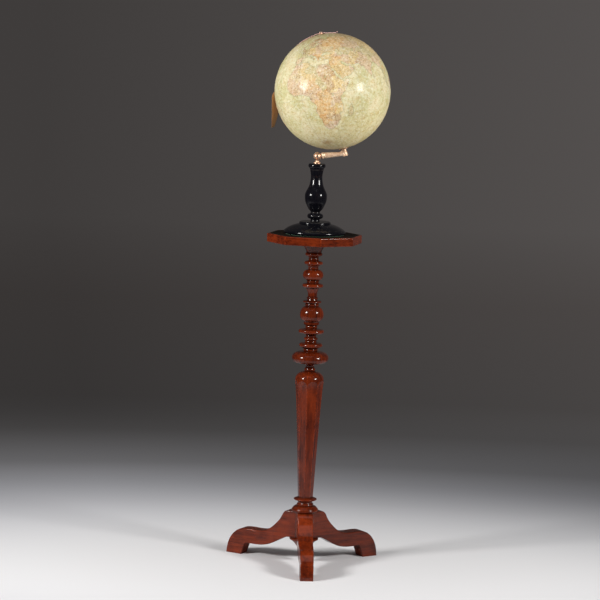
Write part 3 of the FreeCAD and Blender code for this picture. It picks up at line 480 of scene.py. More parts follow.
def ebonised_wood(name, wood):
    """Turned and black-stained fruitwood under black polish: faint long grain, rubbed edges on
    the beads and a little dust in the quirks."""
    finish = Finish(name)
    spot = finish.spot()
    x, y, z = finish.split(spot)
    grain = finish.noise(finish.join(x, y, z * 0.06), 420.0, 3.0, 0.6)
    blotch = finish.noise(spot, 38.0, 3.0, 0.6)
    rubbed = blotch.rise(0.60, 0.74) * finish.noise(spot, 240.0, 2.0).rise(0.45, 0.62)
    dust = nearest(z, STAND_QUIRKS).rise(0.0022, 0.0002) * finish.noise(spot, 90.0, 3.0).rise(0.4, 0.7)
    colour = finish.layers(wood.ebony, [
        (grain.rise(0.35, 0.75), (0.0065, 0.0062, 0.0085)),
        (rubbed * 0.35, (0.045, 0.022, 0.014)),
        (dust * 0.3, (0.075, 0.066, 0.055)),
    ])
    roughness = 0.12 + blotch * 0.12 + dust * 0.25
    height = grain * 0.4 + finish.noise(spot, 55.0, 2.0) * 1.2
    return finish.surface(
        Base_Color=colour, Roughness=roughness, Specular_IOR_Level=0.12,
        Coat_Weight=0.32, Coat_Roughness=0.06,
        Normal=finish.bump(height, 0.0001, 0.4),
    )


def ebonised_panel(name):
    """The top's dark field: satin brown-black stain over a plain board, with fine scratches and
    a slightly paler ring where the base of the table stand has been moved about."""
    finish = Finish(name)
    spot = finish.spot()
    x, y, _ = finish.split(spot)
    grain = finish.noise(finish.join(x * 0.05, y, 0.0), 240.0, 4.0, 0.6)
    colour = finish.mix(grain.rise(0.3, 0.75), (0.006, 0.0042, 0.0030), (0.014, 0.010, 0.006))
    scratches = finish.cells(finish.scaled(spot, (1.0, 0.14, 1.0)), 90.0).rise(0.02, 0.004)
    reach = (x * x + y * y) ** 0.5
    ring = abs(reach - 0.0875).rise(0.0022, 0.0004) * finish.noise(spot, 60.0, 3.0).rise(0.35, 0.65)
    colour = finish.mix(ring * 0.35 + scratches * 0.12, colour, (0.075, 0.040, 0.026))
    roughness = 0.55 + finish.noise(spot, 30.0, 3.0) * 0.22 + scratches * 0.1
    return finish.surface(
        Base_Color=colour, Roughness=roughness, Specular_IOR_Level=0.06,
        Normal=finish.bump(grain - scratches, 0.00006, 0.5),
    )


def old_metal(name, clean, stained, roughness, scale, metallic=1.0):
    """Handled metal: a clean colour and a stained one in soft blotches, file marks that run round,
    and small dark spots. A lower metallic stands for the lacquer over it."""
    finish = Finish(name)
    spot = finish.spot()
    blotch = finish.noise(spot, scale, 4.0, 0.62).rise(0.36, 0.68)
    spots = finish.noise(spot, scale * 5.0, 2.0).rise(0.66, 0.74)
    marks = finish.noise(finish.scaled(spot, (1.0, 1.0, 14.0)), scale * 3.0, 2.0)
    colour = finish.mix(blotch, clean, stained)
    colour = finish.mix(spots * 0.6, colour, times(0.35, stained))
    return finish.surface(
        Base_Color=colour, Metallic=metallic * (1.0 - spots * 0.5),
        Roughness=roughness + blotch * 0.18 + marks * 0.08,
        Normal=finish.bump(marks + blotch * 0.4 - spots * 0.5, 0.00004, 0.5),
    )


def baize(name):
    """Green wool baize: a felted nap of crossed fibres, thinner in places."""
    finish = Finish(name)
    spot = finish.spot()
    nap = finish.noise(finish.scaled(spot, (1.0, 3.0, 1.0)), 900.0, 4.0, 0.7)
    nap = nap * 0.5 + finish.noise(finish.scaled(spot, (3.0, 1.0, 1.0)), 900.0, 4.0, 0.7) * 0.5
    worn = finish.noise(spot, 45.0, 3.0)
    colour = finish.mix(nap, (0.010, 0.040, 0.022), (0.040, 0.105, 0.060))
    colour = finish.mix(worn.rise(0.55, 0.75) * 0.4, colour, (0.085, 0.085, 0.050))
    return finish.surface(
        Base_Color=colour, Roughness=0.95, Sheen_Weight=0.4, Sheen_Roughness=0.5,
        Normal=finish.bump(nap, 0.0003, 0.7),
    )


def cotton_string(name, colour):
    """Laid cotton: the grooves between the plies are painted darker as shade, fine fibres follow them,
    and grime gathers in soft patches. Ply holds 0 in a groove and 1 on a crown."""
    finish = Finish(name)
    spot = finish.spot()
    ply = finish.attribute("ply")
    fibres = finish.noise(spot, 5200.0, 3.0, 0.7)
    soiled = finish.noise(spot, 90.0, 3.0)
    # Painted shade: the grooves between the plies are darkened to a third of the colour.
    painted_groove_shade = times(0.32, colour)
    worn = [min(1.0, 1.35 * value + 0.05) for value in colour]
    shade = finish.layers(finish.mix(ply.rise(0.05, 0.75), painted_groove_shade, colour), [
        (fibres.rise(0.45, 0.75) * 0.6, worn),
        (soiled.rise(0.5, 0.75) * 0.5, (0.30, 0.19, 0.15)),
    ])
    return finish.surface(
        Base_Color=shade, Roughness=0.92, Sheen_Weight=0.3,
        Normal=finish.bump(fibres, 0.0002, 0.6),
    )


def manila_card(name, colour):
    """Old manila card: short pale and brown fibres, foxing spots, patches that grow darker toward the
    lower end and browner edges. Edge holds millimetres from the card's outline."""
    finish = Finish(name)
    spot = finish.spot()
    _, _, z = finish.split(spot)
    edge = finish.attribute("edge")
    fibres = finish.noise(finish.scaled(spot, (1.0, 1.0, 2.5)), 1500.0, 4.0, 0.7)
    clouds = finish.noise(spot, 38.0, 4.0, 0.6)
    foxing = finish.cells(spot, 120.0, "F1").rise(0.16, 0.04) * clouds.rise(0.5, 0.7)
    # The card grows darker in patches toward its lower end.
    low = z.rise(TAG_TOP - 0.045, TAG_TOP - TAG_SIZE[1]) * 0.35
    rim = (edge + (clouds - 0.5) * 1.2).rise(1.4, 0.1)
    shade = finish.layers(finish.mix(fibres, times(0.82, colour), colour), [
        (clouds.rise(0.42, 0.72) * 0.45, (0.30, 0.17, 0.085)),
        (low * clouds, (0.20, 0.11, 0.06)),
        (foxing * 0.5, (0.22, 0.10, 0.045)),
        (rim * 0.55, (0.17, 0.095, 0.055)),
    ])
    return finish.surface(
        Base_Color=shade, Roughness=0.78 + fibres * 0.12, Specular_IOR_Level=0.3,
        Normal=finish.bump(fibres + clouds, 0.00012, 0.6),
    )


def fibre_ring(name):
    """Pressed red-brown fibre washer of the tag's hole."""
    finish = Finish(name)
    spot = finish.spot()
    fibres = finish.noise(spot, 2600.0, 4.0, 0.7)
    colour = finish.mix(fibres, (0.20, 0.075, 0.045), (0.42, 0.20, 0.13))
    return finish.surface(
        Base_Color=colour, Roughness=0.7 + fibres * 0.15, Normal=finish.bump(fibres, 0.00008, 0.6)
    )


def pasteboard(name, dark, pale):
    """Layered paper pulp or plain softwood inside the globe: matt, with long soft fibres."""
    finish = Finish(name)
    spot = finish.spot()
    fibres = finish.noise(finish.scaled(spot, (1.0, 4.0, 1.0)), 300.0, 4.0, 0.7)
    return finish.surface(
        Base_Color=finish.mix(fibres, dark, pale), Roughness=0.85 + fibres * 0.1,
        Normal=finish.bump(fibres, 0.0002, 0.5),
    )


def map_paper(name, chart):
    """The printed and varnished map. Place is the point on a globe of radius 1 with the north
    pole up and longitude 0 along +X. Coast, river and border are millimetres from those lines,
    coast positive on land, and wash is the tint of the country."""
    finish = Finish(name)
    place = finish.attribute("place", "Vector")
    coast = finish.attribute("coast")
    river = finish.attribute("river")
    border = finish.attribute("border")
    wash = finish.attribute("wash", "Color")
    radius = GLOBE_RADIUS / MILLIMETRE
    x, y, z = finish.split(place)
    latitude = z.math("ARCSINE")
    longitude = y.math("ARCTAN2", x)
    girth = (1.0 - z * z).most(0.0) ** 0.5
    ten_degrees = math.radians(10.0)

    def line(distance, half_width):
        return distance.rise(half_width * 1.6, half_width * 0.5)

    def dashes(share=0.5):
        return longitude.math("PINGPONG", math.radians(0.9)).rise(
            math.radians(0.9) * share * 0.9, math.radians(0.9) * share * 1.1)

    clouds = finish.noise(place, 3.2, 4.0, 0.6)
    mottle = finish.noise(place, 14.0, 5.0, 0.68)
    speckle = finish.noise(place, 75.0, 4.0, 0.7)
    flecks = finish.noise(place, 34.0, 4.0, 0.75)
    fray = finish.noise(place, 42.0, 5.0, 0.65) - 0.5
    shore = coast + fray * 4.6
    land = shore.rise(-0.9, 0.9)
    engraving = finish.noise(finish.scaled(place, (1.0, 1.0, 3.2)), 150.0, 2.0, 0.6)
    hills = finish.noise(place, 9.0, 3.0, 0.55).rise(0.48, 0.64)

    south = latitude.rise(math.radians(-8.0), math.radians(-50.0))
    reefs = (shore * (math.tau / 0.7)).math("SINE").rise(0.1, 0.9)
    shallows = shore.rise(-4.2, -0.2) * (1.0 - land)
    currents = (finish.noise(place, 2.1, 1.0) * 17.0).to_nearest(1.0)
    sea = finish.layers(chart.ocean, [
        (clouds.rise(0.35, 0.65), chart.ocean_green),
        (mottle.rise(0.50, 0.72) * 0.5, (0.80, 0.68, 0.36)),
        (south * 0.45, (0.92, 0.80, 0.44)),
        (shallows * (0.16 + reefs * 0.26), (0.34, 0.37, 0.26)),
        (currents.rise(0.05, 0.02) * 0.10, chart.ink),
        (engraving.rise(0.60, 0.70) * 0.22, chart.ink),
    ])

    rim = (border + fray * 1.8).rise(3.4, 0.4).most(shore.rise(3.0, 0.4))
    patchy = mottle.rise(0.38, 0.60) * 0.6 + 0.4
    ground = finish.layers(chart.parchment, [
        ((0.62 + rim * 0.38) * patchy * chart.wash, wash),
        (hills * speckle.rise(0.44, 0.60) * 0.5, (0.22, 0.11, 0.045)),
        (engraving.rise(0.55, 0.64) * 0.45, chart.ink),
        (flecks.rise(0.55, 0.66) * 0.55, (0.30, 0.14, 0.055)),
        (flecks.rise(0.44, 0.36) * 0.50, (0.84, 0.80, 0.66)),
        (line(border + fray * 1.8, 0.20) * 0.35, chart.ink),
        (line(abs(river + fray * 1.6), 0.22) * 0.5, (0.14, 0.15, 0.12)),
    ])
    colour = finish.mix(land, sea, ground)
    colour = finish.mix(line(abs(shore), 0.30) * speckle.rise(0.36, 0.58) * 0.6, colour, chart.ink)

    net = line(latitude.to_nearest(ten_degrees) * radius, 0.10)
    net = net.most(line(longitude.to_nearest(ten_degrees) * girth * radius, 0.10))
    circles = line(abs(abs(latitude) - OBLIQUITY) * radius, 0.16)
    circles = circles.most(line(abs(abs(latitude) - POLAR_CIRCLE) * radius, 0.16)) * dashes()
    ecliptic = abs(finish.dot(place, (0.0, -math.sin(OBLIQUITY), math.cos(OBLIQUITY)))) * radius
    great = line(ecliptic, 0.12).most(line(abs(ecliptic - 0.9), 0.10))
    equator = abs(latitude) * radius
    rungs = equator.rise(0.80, 0.70) * dashes(0.35)
    great = great.most(line(abs(equator - 0.85), 0.10)).most(rungs * 0.6)
    great = great.most(line(abs(longitude) * girth * radius, 0.12))
    ink = (net * 0.34).most(circles * 0.45).most(great * 0.34) * speckle.rise(0.30, 0.55)
    colour = finish.mix(ink, colour, chart.ink)

    gap = longitude.to_nearest(math.radians(360.0 / GORE_COUNT)) * girth * radius
    cap = abs(abs(latitude) - math.radians(CALOTTE_LATITUDE)) * radius
    gap = gap.least(cap) + (speckle - 0.5) * 0.4
    seam = line(gap, 0.16)
    soiled_seam = gap.rise(2.6, 0.1) * mottle.rise(0.35, 0.7)
    colour = finish.mix(seam * 0.4 + soiled_seam * 0.22, colour, (0.23, 0.15, 0.08))

    cracks = finish.cells(place, 11.0).rise(0.012, 0.002) * clouds.rise(0.45, 0.62)
    craze = finish.cells(place, 70.0).rise(0.05, 0.01)
    poles = abs(latitude).rise(math.radians(40.0), math.radians(84.0))
    stain = finish.add("ShaderNodeVectorMath", {"operation": "DISTANCE"},
                       {0: place, 1: chart_points(*STAIN_PLACE).tolist()}, "Value")
    stain = (stain + (mottle - 0.5) * 0.14).rise(0.13, 0.02)
    age = mottle.rise(0.36, 0.74) * 0.55 + clouds.rise(0.4, 0.7) * 0.35 + poles * 0.45
    dapple = finish.noise(place, 24.0, 3.0, 0.8, 0.6)
    colour = finish.layers(colour, [
        (age * chart.ageing, chart.varnish),
        (stain * 0.6, (0.50, 0.28, 0.10)),
        (speckle.rise(0.56, 0.72) * 0.5, (0.58, 0.42, 0.20)),
        (dapple.rise(0.50, 0.66) * 0.60, (0.68, 0.52, 0.25)),
    ], "MULTIPLY")
    colour = finish.mix(dapple.rise(0.46, 0.34) * 0.55, colour, (0.84, 0.83, 0.70))
    colour = finish.mix(flecks.rise(0.56, 0.66) * mottle.rise(0.38, 0.58) * 0.70, colour,
                        (0.50, 0.36, 0.17), "MULTIPLY")
    rubs = finish.noise(place, 24.0, 5.0, 0.7).rise(0.60, 0.70) * clouds.rise(0.40, 0.55)
    colour = finish.layers(colour, [
        (cracks * 0.5 + craze * 0.07, (0.16, 0.09, 0.045)), (rubs * 0.5, (0.84, 0.80, 0.66)),
    ])

    roughness = 0.50 + mottle * 0.16 + seam * 0.2 + rubs * 0.2
    height = mottle * 0.35 + speckle * 0.10 - seam * 0.8 - cracks * 0.6 - craze * 0.1
    return finish.surface(
        Base_Color=colour, Roughness=roughness, Specular_IOR_Level=0.32,
        Coat_Weight=0.30, Coat_Roughness=0.21, Coat_IOR=1.45,
        Normal=finish.bump(height, 0.00025, 0.45),
    )


# ---- surfaces ------------------------------------------------------------------------------------
def chart_points(longitudes, latitudes):
    """Points on a sphere of radius 1: the cosine of latitude times the cosine and sine of
    longitude, and the sine of latitude, for numbers or whole arrays in degrees."""
    east, north = np.radians(longitudes), np.radians(latitudes)
    return np.stack([np.cos(north) * np.cos(east), np.cos(north) * np.sin(east), np.sin(north)], -1)


def on_globe(points):
    """Points of the globe's own frame, in radii, turned about the axis, leaned and set in place."""
    lean = np.array([
        [math.cos(AXIS_LEAN), 0.0, -math.sin(AXIS_LEAN)],
        [0.0, 1.0, 0.0],
        [math.sin(AXIS_LEAN), 0.0, math.cos(AXIS_LEAN)],
    ])
    turn = np.array([
        [math.cos(GLOBE_TURN), -math.sin(GLOBE_TURN), 0.0],
        [math.sin(GLOBE_TURN), math.cos(GLOBE_TURN), 0.0],
        [0.0, 0.0, 1.0],
    ])
    return points @ (lean @ turn).T + GLOBE_CENTRE


def grid_quads(rows, columns, around):
    """Quads of a grid numbered row by row, each going along the row first and then to the next
    row. A grid that goes all the way around joins its last column to its first."""
    row = np.arange(rows - 1)[:, None]
    column = np.arange(columns if around else columns - 1)[None, :]
    beside = (column + 1) % columns
    corners = [row * columns + column, row * columns + beside,
               (row + 1) * columns + beside, (row + 1) * columns + column]
    return np.stack([corner.ravel() for corner in corners], -1)


def grid_rims(rows, columns, around):
    """The grid's border as runs of point numbers, in the turning sense of its quads."""
    numbers = np.arange(rows * columns).reshape(rows, columns)
    if around:
        first = np.append(numbers[0], numbers[0, 0])
        last = np.append(numbers[-1], numbers[-1, 0])[::-1]
        return [first, last]
    return [np.concatenate([numbers[0], numbers[1:, -1], numbers[-1, -2::-1], numbers[-2::-1, 0]])]


def shell_faces(rows, columns, around):
    """Faces of a closed shell: the outer grid, the inner grid turned round, and the rims."""
    outer = grid_quads(rows, columns, around)
    count = rows * columns
    faces = [outer, outer[:, ::-1] + count]
    for rim in grid_rims(rows, columns, around):
        here, there = rim[:-1], rim[1:]
        faces.append(np.stack([there, here, here + count, there + count], -1))
    return np.concatenate(faces)


def roughened(outline, generator, rounds=3, share=0.16):
    """A closed outline whose every run is halved, round after round, and its middle pushed
    sideways by a share of the run's length."""
    points = np.array(outline, float)
    for _ in range(rounds):
        ahead = np.roll(points, -1, 0)
        run = ahead - points
        side = np.stack([-run[:, 1], run[:, 0]], -1)
        middle = (points + ahead) / 2 + side * generator.uniform(-share, share, (len(points), 1))
        points = np.stack([points, middle], 1).reshape(-1, 2)
    return points


def smallest_gap(places, runs, reach=0.12, block=900):
    """The least straight distance from each place to any run, in radii, and the reach where all
    are further off. The foot on each run is held between its two ends; each block of places
    looks only at the runs that come near it."""
    gaps = []
    all_starts, all_ends = chart_points(*runs[:, 0].T), chart_points(*runs[:, 1].T)
    for first in range(0, len(places), block):
        some = places[first:first + block]
        middle = some.mean(0)
        spread = np.linalg.norm(some - middle, axis=1).max()
        near = np.linalg.norm(all_starts - middle, axis=1) < spread + 2.0 * reach
        if not near.any():
            gaps.append(np.full(len(some), reach))
            continue
        starts, ends = all_starts[near], all_ends[near]
        run = ends - starts
        squared = (run * run).sum(1)
        along = some @ run.T - (starts * run).sum(1)
        share = np.clip(along / squared, 0.0, 1.0)
        gap = (some * some).sum(1)[:, None] - 2.0 * (some @ starts.T) + (starts * starts).sum(1)
        gap = gap - 2.0 * share * along + share * share * squared
        gaps.append(np.minimum(np.sqrt(np.maximum(gap.min(1), 0.0)), reach))
    return np.concatenate(gaps)


def crossings(longitudes, latitudes, starts, ends, block=3000):
    """How many runs lie due north of each place."""
    counts = []
    for first in range(0, len(longitudes), block):
        east = longitudes[first:first + block, None]
        north = latitudes[first:first + block, None]
        between = (starts[:, 0] > east) != (ends[:, 0] > east)
        width = np.where(ends[:, 0] == starts[:, 0], 1.0, ends[:, 0] - starts[:, 0])
        height = starts[:, 1] + (east - starts[:, 0]) * (ends[:, 1] - starts[:, 1]) / width
        counts.append((between & (height > north)).sum(1))
    return np.concatenate(counts)


def survey():
    """The runs of every coast and river, as longitudes and latitudes of their two ends. A course
    is roughened like a closed outline, so the seven points of its way back are left out."""
    generator = np.random.default_rng(12)
    coasts = [roughened(outline, generator) for outline in OUTLINES.values()]
    coast = np.concatenate([np.stack([points, np.roll(points, -1, 0)], 1) for points in coasts])
    rivers = []
    for course in RIVERS:
        points = roughened(course, generator, 3, 0.2)[:-7]
        rivers.append(np.stack([points[:-1], points[1:]], 1))
    return coast, np.concatenate(rivers)


def chart_values(longitudes, latitudes, surveyed):
    """What the map's finish reads at each place: its point on the unit sphere, millimetres to the
    coast, river and border, and the wash of the country whose seat is nearest. The coasts are read
    at a place that sways by about a degree, so that none of their runs is straight."""
    scale = GLOBE_RADIUS / MILLIMETRE
    coast, rivers = surveyed
    sway = np.radians(np.stack([latitudes * 7.0 + longitudes * 3.0, longitudes * 8.0 - latitudes * 4.0]))
    east = longitudes + 0.7 * np.sin(sway[0]) + 0.35 * np.sin(3.1 * sway[1])
    north = latitudes + 0.6 * np.sin(sway[1] + 1.0) + 0.3 * np.sin(2.7 * sway[0])
    places = chart_points(longitudes, latitudes)
    bent = chart_points(east, north)
    gap = smallest_gap(bent, coast)
    count = np.zeros(len(places), int)
    for turn in (-360.0, 0.0, 360.0):
        shifted = coast + (turn, 0.0)
        low, high = shifted[..., 0].min(1), shifted[..., 0].max(1)
        near = (high > east.min()) & (low < east.max())
        count += crossings(east, north, shifted[near, 0], shifted[near, 1])
    values = {"coast": np.where(count % 2 == 1, gap, -gap) * scale}
    values["river"] = smallest_gap(bent, rivers) * scale
    seats = chart_points(*np.array([country[:2] for country in COUNTRIES], float).T)
    sway = 0.035 * np.sin(places[:, [1, 2, 0]] * 31.0) + 0.02 * np.sin(places[:, [2, 0, 1]] * 67.0)
    distance = np.linalg.norm((places + sway)[:, None, :] - seats[None], axis=2)
    order = np.argsort(distance, axis=1)[:, :2]
    first, second = np.take_along_axis(distance, order, 1).T
    values["border"] = (second - first) / 2.0 * scale
    tints = np.array([TINTS[country[2]] for country in COUNTRIES])
    return places, values, tints[order[:, 0]]


def new_object(name, points, faces, material, smooth=True):
    """A mesh of points and faces, in its place."""
    mesh = bpy.data.meshes.new(name)
    mesh.from_pydata(np.asarray(points).tolist(), [], [list(map(int, face)) for face in faces])
    mesh.polygons.foreach_set("use_smooth", np.full(len(mesh.polygons), smooth))
    mesh.materials.append(material)
    mesh.update()
    thing = bpy.data.objects.new(name, mesh)
    bpy.context.scene.collection.objects.link(thing)
    return thing


def new_piece(name, points, faces, body, material):
    """A smooth mesh that rides on a body of the part."""
    piece = new_object(name, points, faces, material)
    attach(piece, body)
    return piece


def store(piece, name, values, kind="FLOAT"):
    """Put one value for each point of a piece in a named attribute of its mesh."""
    field = {"FLOAT": "value", "FLOAT_VECTOR": "vector", "FLOAT_COLOR": "color"}[kind]
    layer = piece.data.attributes.new(name, kind, "POINT")
    layer.data.foreach_set(field, np.asarray(values, np.float32).ravel())


def paper_shell(name, wests, latitudes, around, surveyed, material):
    """A closed shell of map paper over part of the globe: rows of equal latitude, columns of
    equal longitude, once at the globe's radius and once a paper's thickness inside it. The
    shading is split at its rims."""
    rows, columns = len(latitudes), len(wests)
    north, east = (grid.ravel() for grid in np.meshgrid(latitudes, wests, indexing="ij"))
    places, values, tints = chart_values(east, north, surveyed)
    outer = on_globe(places * GLOBE_RADIUS)
    inner = on_globe(places * (GLOBE_RADIUS - PAPER_THICKNESS))
    piece = new_piece(name, np.concatenate([outer, inner]), shell_faces(rows, columns, around),
                      "globe", material)
    sides = np.concatenate([places, places])
    store(piece, "place", sides, "FLOAT_VECTOR")
    for key, value in values.items():
        store(piece, key, np.concatenate([value, value]))
    paint = np.concatenate([tints, np.ones((len(tints), 1))], 1)
    store(piece, "wash", np.concatenate([paint, paint]), "FLOAT_COLOR")
    piece.data.set_sharp_from_angle(angle=math.radians(50.0))
    return piece


def spline_points(name, route, spacing):
    """Points along the smooth line whose control points are the route, read from a NURBS curve
    with no thickness, and then spaced evenly."""
    curve = bpy.data.curves.new(name, "CURVE")
    curve.dimensions = "3D"
    spline = curve.splines.new("NURBS")
    spline.points.add(len(route) - 1)
    spline.points.foreach_set("co", np.column_stack([route, np.ones(len(route))]).ravel())
    spline.order_u = 3
    spline.use_endpoint_u = True
    spline.resolution_u = 24
    holder = bpy.data.objects.new(name, curve)
    line = bpy.data.meshes.new_from_object(holder)
    points = np.zeros(len(line.vertices) * 3)
    line.vertices.foreach_get("co", points)
    points = points.reshape(-1, 3)
    bpy.data.objects.remove(holder)
    bpy.data.curves.remove(curve)
    bpy.data.meshes.remove(line)
    travel = np.append(0.0, np.cumsum(np.linalg.norm(np.diff(points, axis=0), axis=1)))
    even = np.linspace(0.0, travel[-1], int(travel[-1] / spacing) + 2)
    return np.stack([np.interp(even, travel, points[:, axis]) for axis in range(3)], -1), travel[-1]


def laid_cord(name, path, centre, radius, plies, pitch, closed, body, material):
    """A cord of twisted plies round a path: the section's radius is full on each ply's crown and
    less in the grooves, by the size of the cosine of half the plies times the angle, and the
    section turns once for each pitch travelled. The angle starts away from the centre."""
    if closed:
        tangent = np.roll(path, -1, 0) - np.roll(path, 1, 0)
        steps = np.linalg.norm(np.roll(path, -1, 0) - path, axis=1)
        pitch = steps.sum() / max(1, round(steps.sum() / pitch))
        travel = np.append(0.0, np.cumsum(steps)[:-1])
    else:
        tangent = np.gradient(path, axis=0)
        travel = np.append(0.0, np.cumsum(np.linalg.norm(np.diff(path, axis=0), axis=1)))
    tangent /= np.linalg.norm(tangent, axis=1)[:, None]
    away = path - centre
    away -= (away * tangent).sum(1)[:, None] * tangent
    away /= np.linalg.norm(away, axis=1)[:, None]
    side = np.cross(tangent, away)
    sides = 5 * plies
    angle = np.linspace(0.0, math.tau, sides, endpoint=False)[None, :]
    phase = plies * (angle - math.tau * travel[:, None] / pitch) / 2.0
    crown = np.abs(np.cos(phase)) ** 0.7
    reach = radius * (0.66 + 0.34 * crown)
    rings = (path[:, None, :] + (reach * np.cos(angle))[..., None] * away[:, None, :]
             + (reach * np.sin(angle))[..., None] * side[:, None, :])
    count = len(path)
    quads = grid_quads(count + (1 if closed else 0), sides, True) % (count * sides)
    points, ply = rings.reshape(-1, 3), crown.ravel()
    faces = quads.tolist()
    if not closed:
        points = np.concatenate([points, path[:1], path[-1:]])
        ply = np.append(ply, [0.5, 0.5])
        ring = np.arange(sides)
        beside = (ring + 1) % sides
        start, end = count * sides, count * sides + 1
        base = (count - 1) * sides
        faces += np.stack([np.full(sides, start), beside, ring], -1).tolist()
        faces += np.stack([np.full(sides, end), ring + base, beside + base], -1).tolist()
    piece = new_piece(name, points, faces, body, material)
    store(piece, "ply", ply)
    return piece


def ring_path(centre, radius, normal, count):
    """Points round a circle about a normal."""
    normal = np.array(normal, float) / np.linalg.norm(normal)
    first = np.cross(normal, (0.0, 1.0, 0.0) if abs(normal[1]) < 0.9 else (1.0, 0.0, 0.0))
    first /= np.linalg.norm(first)
    second = np.cross(normal, first)
    angle = np.linspace(0.0, math.tau, count, endpoint=False)[:, None]
    return centre + radius * (np.cos(angle) * first + np.sin(angle) * second)


def narrow_loop_path(centre, facing, half_width, half_height, count):
    """Points round an upright loop whose long sides are nearly straight."""
    angle = np.linspace(0.0, math.tau, count, endpoint=False)[:, None]
    reach = half_width * np.sign(np.cos(angle)) * np.abs(np.cos(angle)) ** 0.6
    return centre + reach * np.array(facing) + half_height * np.sin(angle) * np.array([0.0, 0.0, 1.0])


def knot_path(centre, size, count=150):
    """An overhand knot drawn up as a trefoil: twice round the middle while the radius rises and
    falls three times by the cosine and the height by the sine."""
    turn = np.linspace(0.0, math.tau, count, endpoint=False)
    reach = 2.0 + np.cos(3.0 * turn)
    shape = np.stack([reach * np.cos(2.0 * turn), reach * np.sin(2.0 * turn), np.sin(3.0 * turn)], -1)
    return centre + shape * size / 3.0


def tag_card(name, string, material):
    """The luggage-style tag: a grid that goes round the hole and out to the outline, which is
    where a ray from the hole first meets one of the card's six straight edges. The card is bent
    by the square of the distance from its middle line, and twisted and swung away from the globe
    more toward its lower end."""
    half, length = TAG_SIZE[0] / 2.0, TAG_SIZE[1]
    root = math.sqrt(0.5)
    edges = np.array([
        (1.0, 0.0, half), (-1.0, 0.0, half), (0.0, 1.0, TAG_HOLE_DROP),
        (0.0, -1.0, length - TAG_HOLE_DROP),
        (root, root, (half + TAG_HOLE_DROP - TAG_CORNER) * root),
        (-root, root, (half + TAG_HOLE_DROP - TAG_CORNER) * root),
    ])
    corners = [(half, TAG_HOLE_DROP - length), (-half, TAG_HOLE_DROP - length),
               (half, TAG_HOLE_DROP - TAG_CORNER), (-half, TAG_HOLE_DROP - TAG_CORNER),
               (half - TAG_CORNER, TAG_HOLE_DROP), (TAG_CORNER - half, TAG_HOLE_DROP)]
    angle = np.arctan2([corner[1] for corner in corners], [corner[0] for corner in corners])
    angle = np.sort(np.concatenate([angle, np.linspace(-math.pi, math.pi, 200, endpoint=False)]))
    angle = angle[np.append(True, np.diff(angle) > 1e-4)]
    ray = np.stack([np.cos(angle), np.sin(angle)], -1)
    facing = ray @ edges[:, :2].T
    reach = np.where(facing > 1e-6, edges[:, 2] / np.maximum(facing, 1e-6), 9.0).min(1)
    share = np.linspace(0.0, 1.0, 42)[:, None, None]
    flat = (TAG_HOLE_RADIUS + share * (reach[:, None] - TAG_HOLE_RADIUS)) * ray
    across, up = flat[..., 0], flat[..., 1]
    drop = TAG_HOLE_DROP - up
    fall = np.clip(drop / length, 0.0, 1.0)
    twist = string.tag_twist * fall ** 1.6
    curl = string.tag_curl * (across / half) ** 2 * fall ** 0.8
    width = np.array([math.cos(TAG_TURN), math.sin(TAG_TURN), 0.0])
    facing_out = np.array([math.sin(TAG_TURN), -math.cos(TAG_TURN), 0.0])
    centre = np.array([*TAG_CENTRE, TAG_TOP])
    offset = across * np.sin(twist) + curl - string.tag_lean * fall ** 2
    points = (centre + (across * np.cos(twist))[..., None] * width
              + offset[..., None] * facing_out - drop[..., None] * np.array([0.0, 0.0, 1.0]))
    rows, columns = across.shape
    quads = grid_quads(rows, columns, True)
    piece = new_piece(name, points.reshape(-1, 3), quads[:, ::-1], "arm", material)
    gap = (edges[:, 2] - flat.reshape(-1, 2) @ edges[:, :2].T).min(1) / MILLIMETRE
    store(piece, "edge", gap)
    thickness = piece.modifiers.new("card thickness", "SOLIDIFY")
    thickness.thickness = string.card_thickness
    thickness.offset = 0.0
    return piece


# ---- what a user would change --------------------------------------------------------------------
def colour_property(name, description, default):
    return bpy.props.FloatVectorProperty(
        name=name, description=description, default=default, size=3, min=0.0, max=1.0, subtype="COLOR")


def number_property(name, description, default, least, **limits):
    return bpy.props.FloatProperty(
        name=name, description=description, default=default, min=least, **limits)


class GLOBE_PG_wood(bpy.types.PropertyGroup):
    """Colours and polish of the torchere and the table stand."""

    mahogany_dark: colour_property("Dark mahogany", "Dark streaks of the mahogany", (0.034, 0.0036, 0.0012))
    mahogany_light: colour_property(
        "Light mahogany", "Light streaks of the mahogany", (0.170, 0.0225, 0.0045))
    ebony: colour_property("Ebonised wood", "Black stain of the table stand", (0.0022, 0.0022, 0.0042))
    polish: number_property(
        "Polish", "Least roughness of the mahogany", 0.22, 0.0, max=1.0, subtype="FACTOR")


class GLOBE_PG_chart(bpy.types.PropertyGroup):
    """The printed map and its varnish."""

    ocean: colour_property("Ocean", "Bare paper of the oceans", (0.78, 0.71, 0.47))
    ocean_green: colour_property("Green ocean", "Where the varnish has turned greenish", (0.66, 0.66, 0.38))
    parchment: colour_property("Land", "Paper of the land between the washes", (0.80, 0.66, 0.40))
    ink: colour_property("Ink", "Engraved lines", (0.085, 0.070, 0.050))
    varnish: colour_property("Old varnish", "Tint of the thickest varnish", (0.80, 0.66, 0.40))
    wash: number_property(
        "Washes", "Strength of the country washes", 0.80, 0.0, max=1.0, subtype="FACTOR")
    ageing: number_property(
        "Ageing", "Strength of the yellowing", 0.75, 0.0, max=1.0, subtype="FACTOR")
    columns: bpy.props.IntProperty(
        name="Columns", description="Quads across one gore", default=44, min=8, max=80)
    rows: bpy.props.IntProperty(
        name="Rows", description="Quads along one gore", default=230, min=40, max=400)


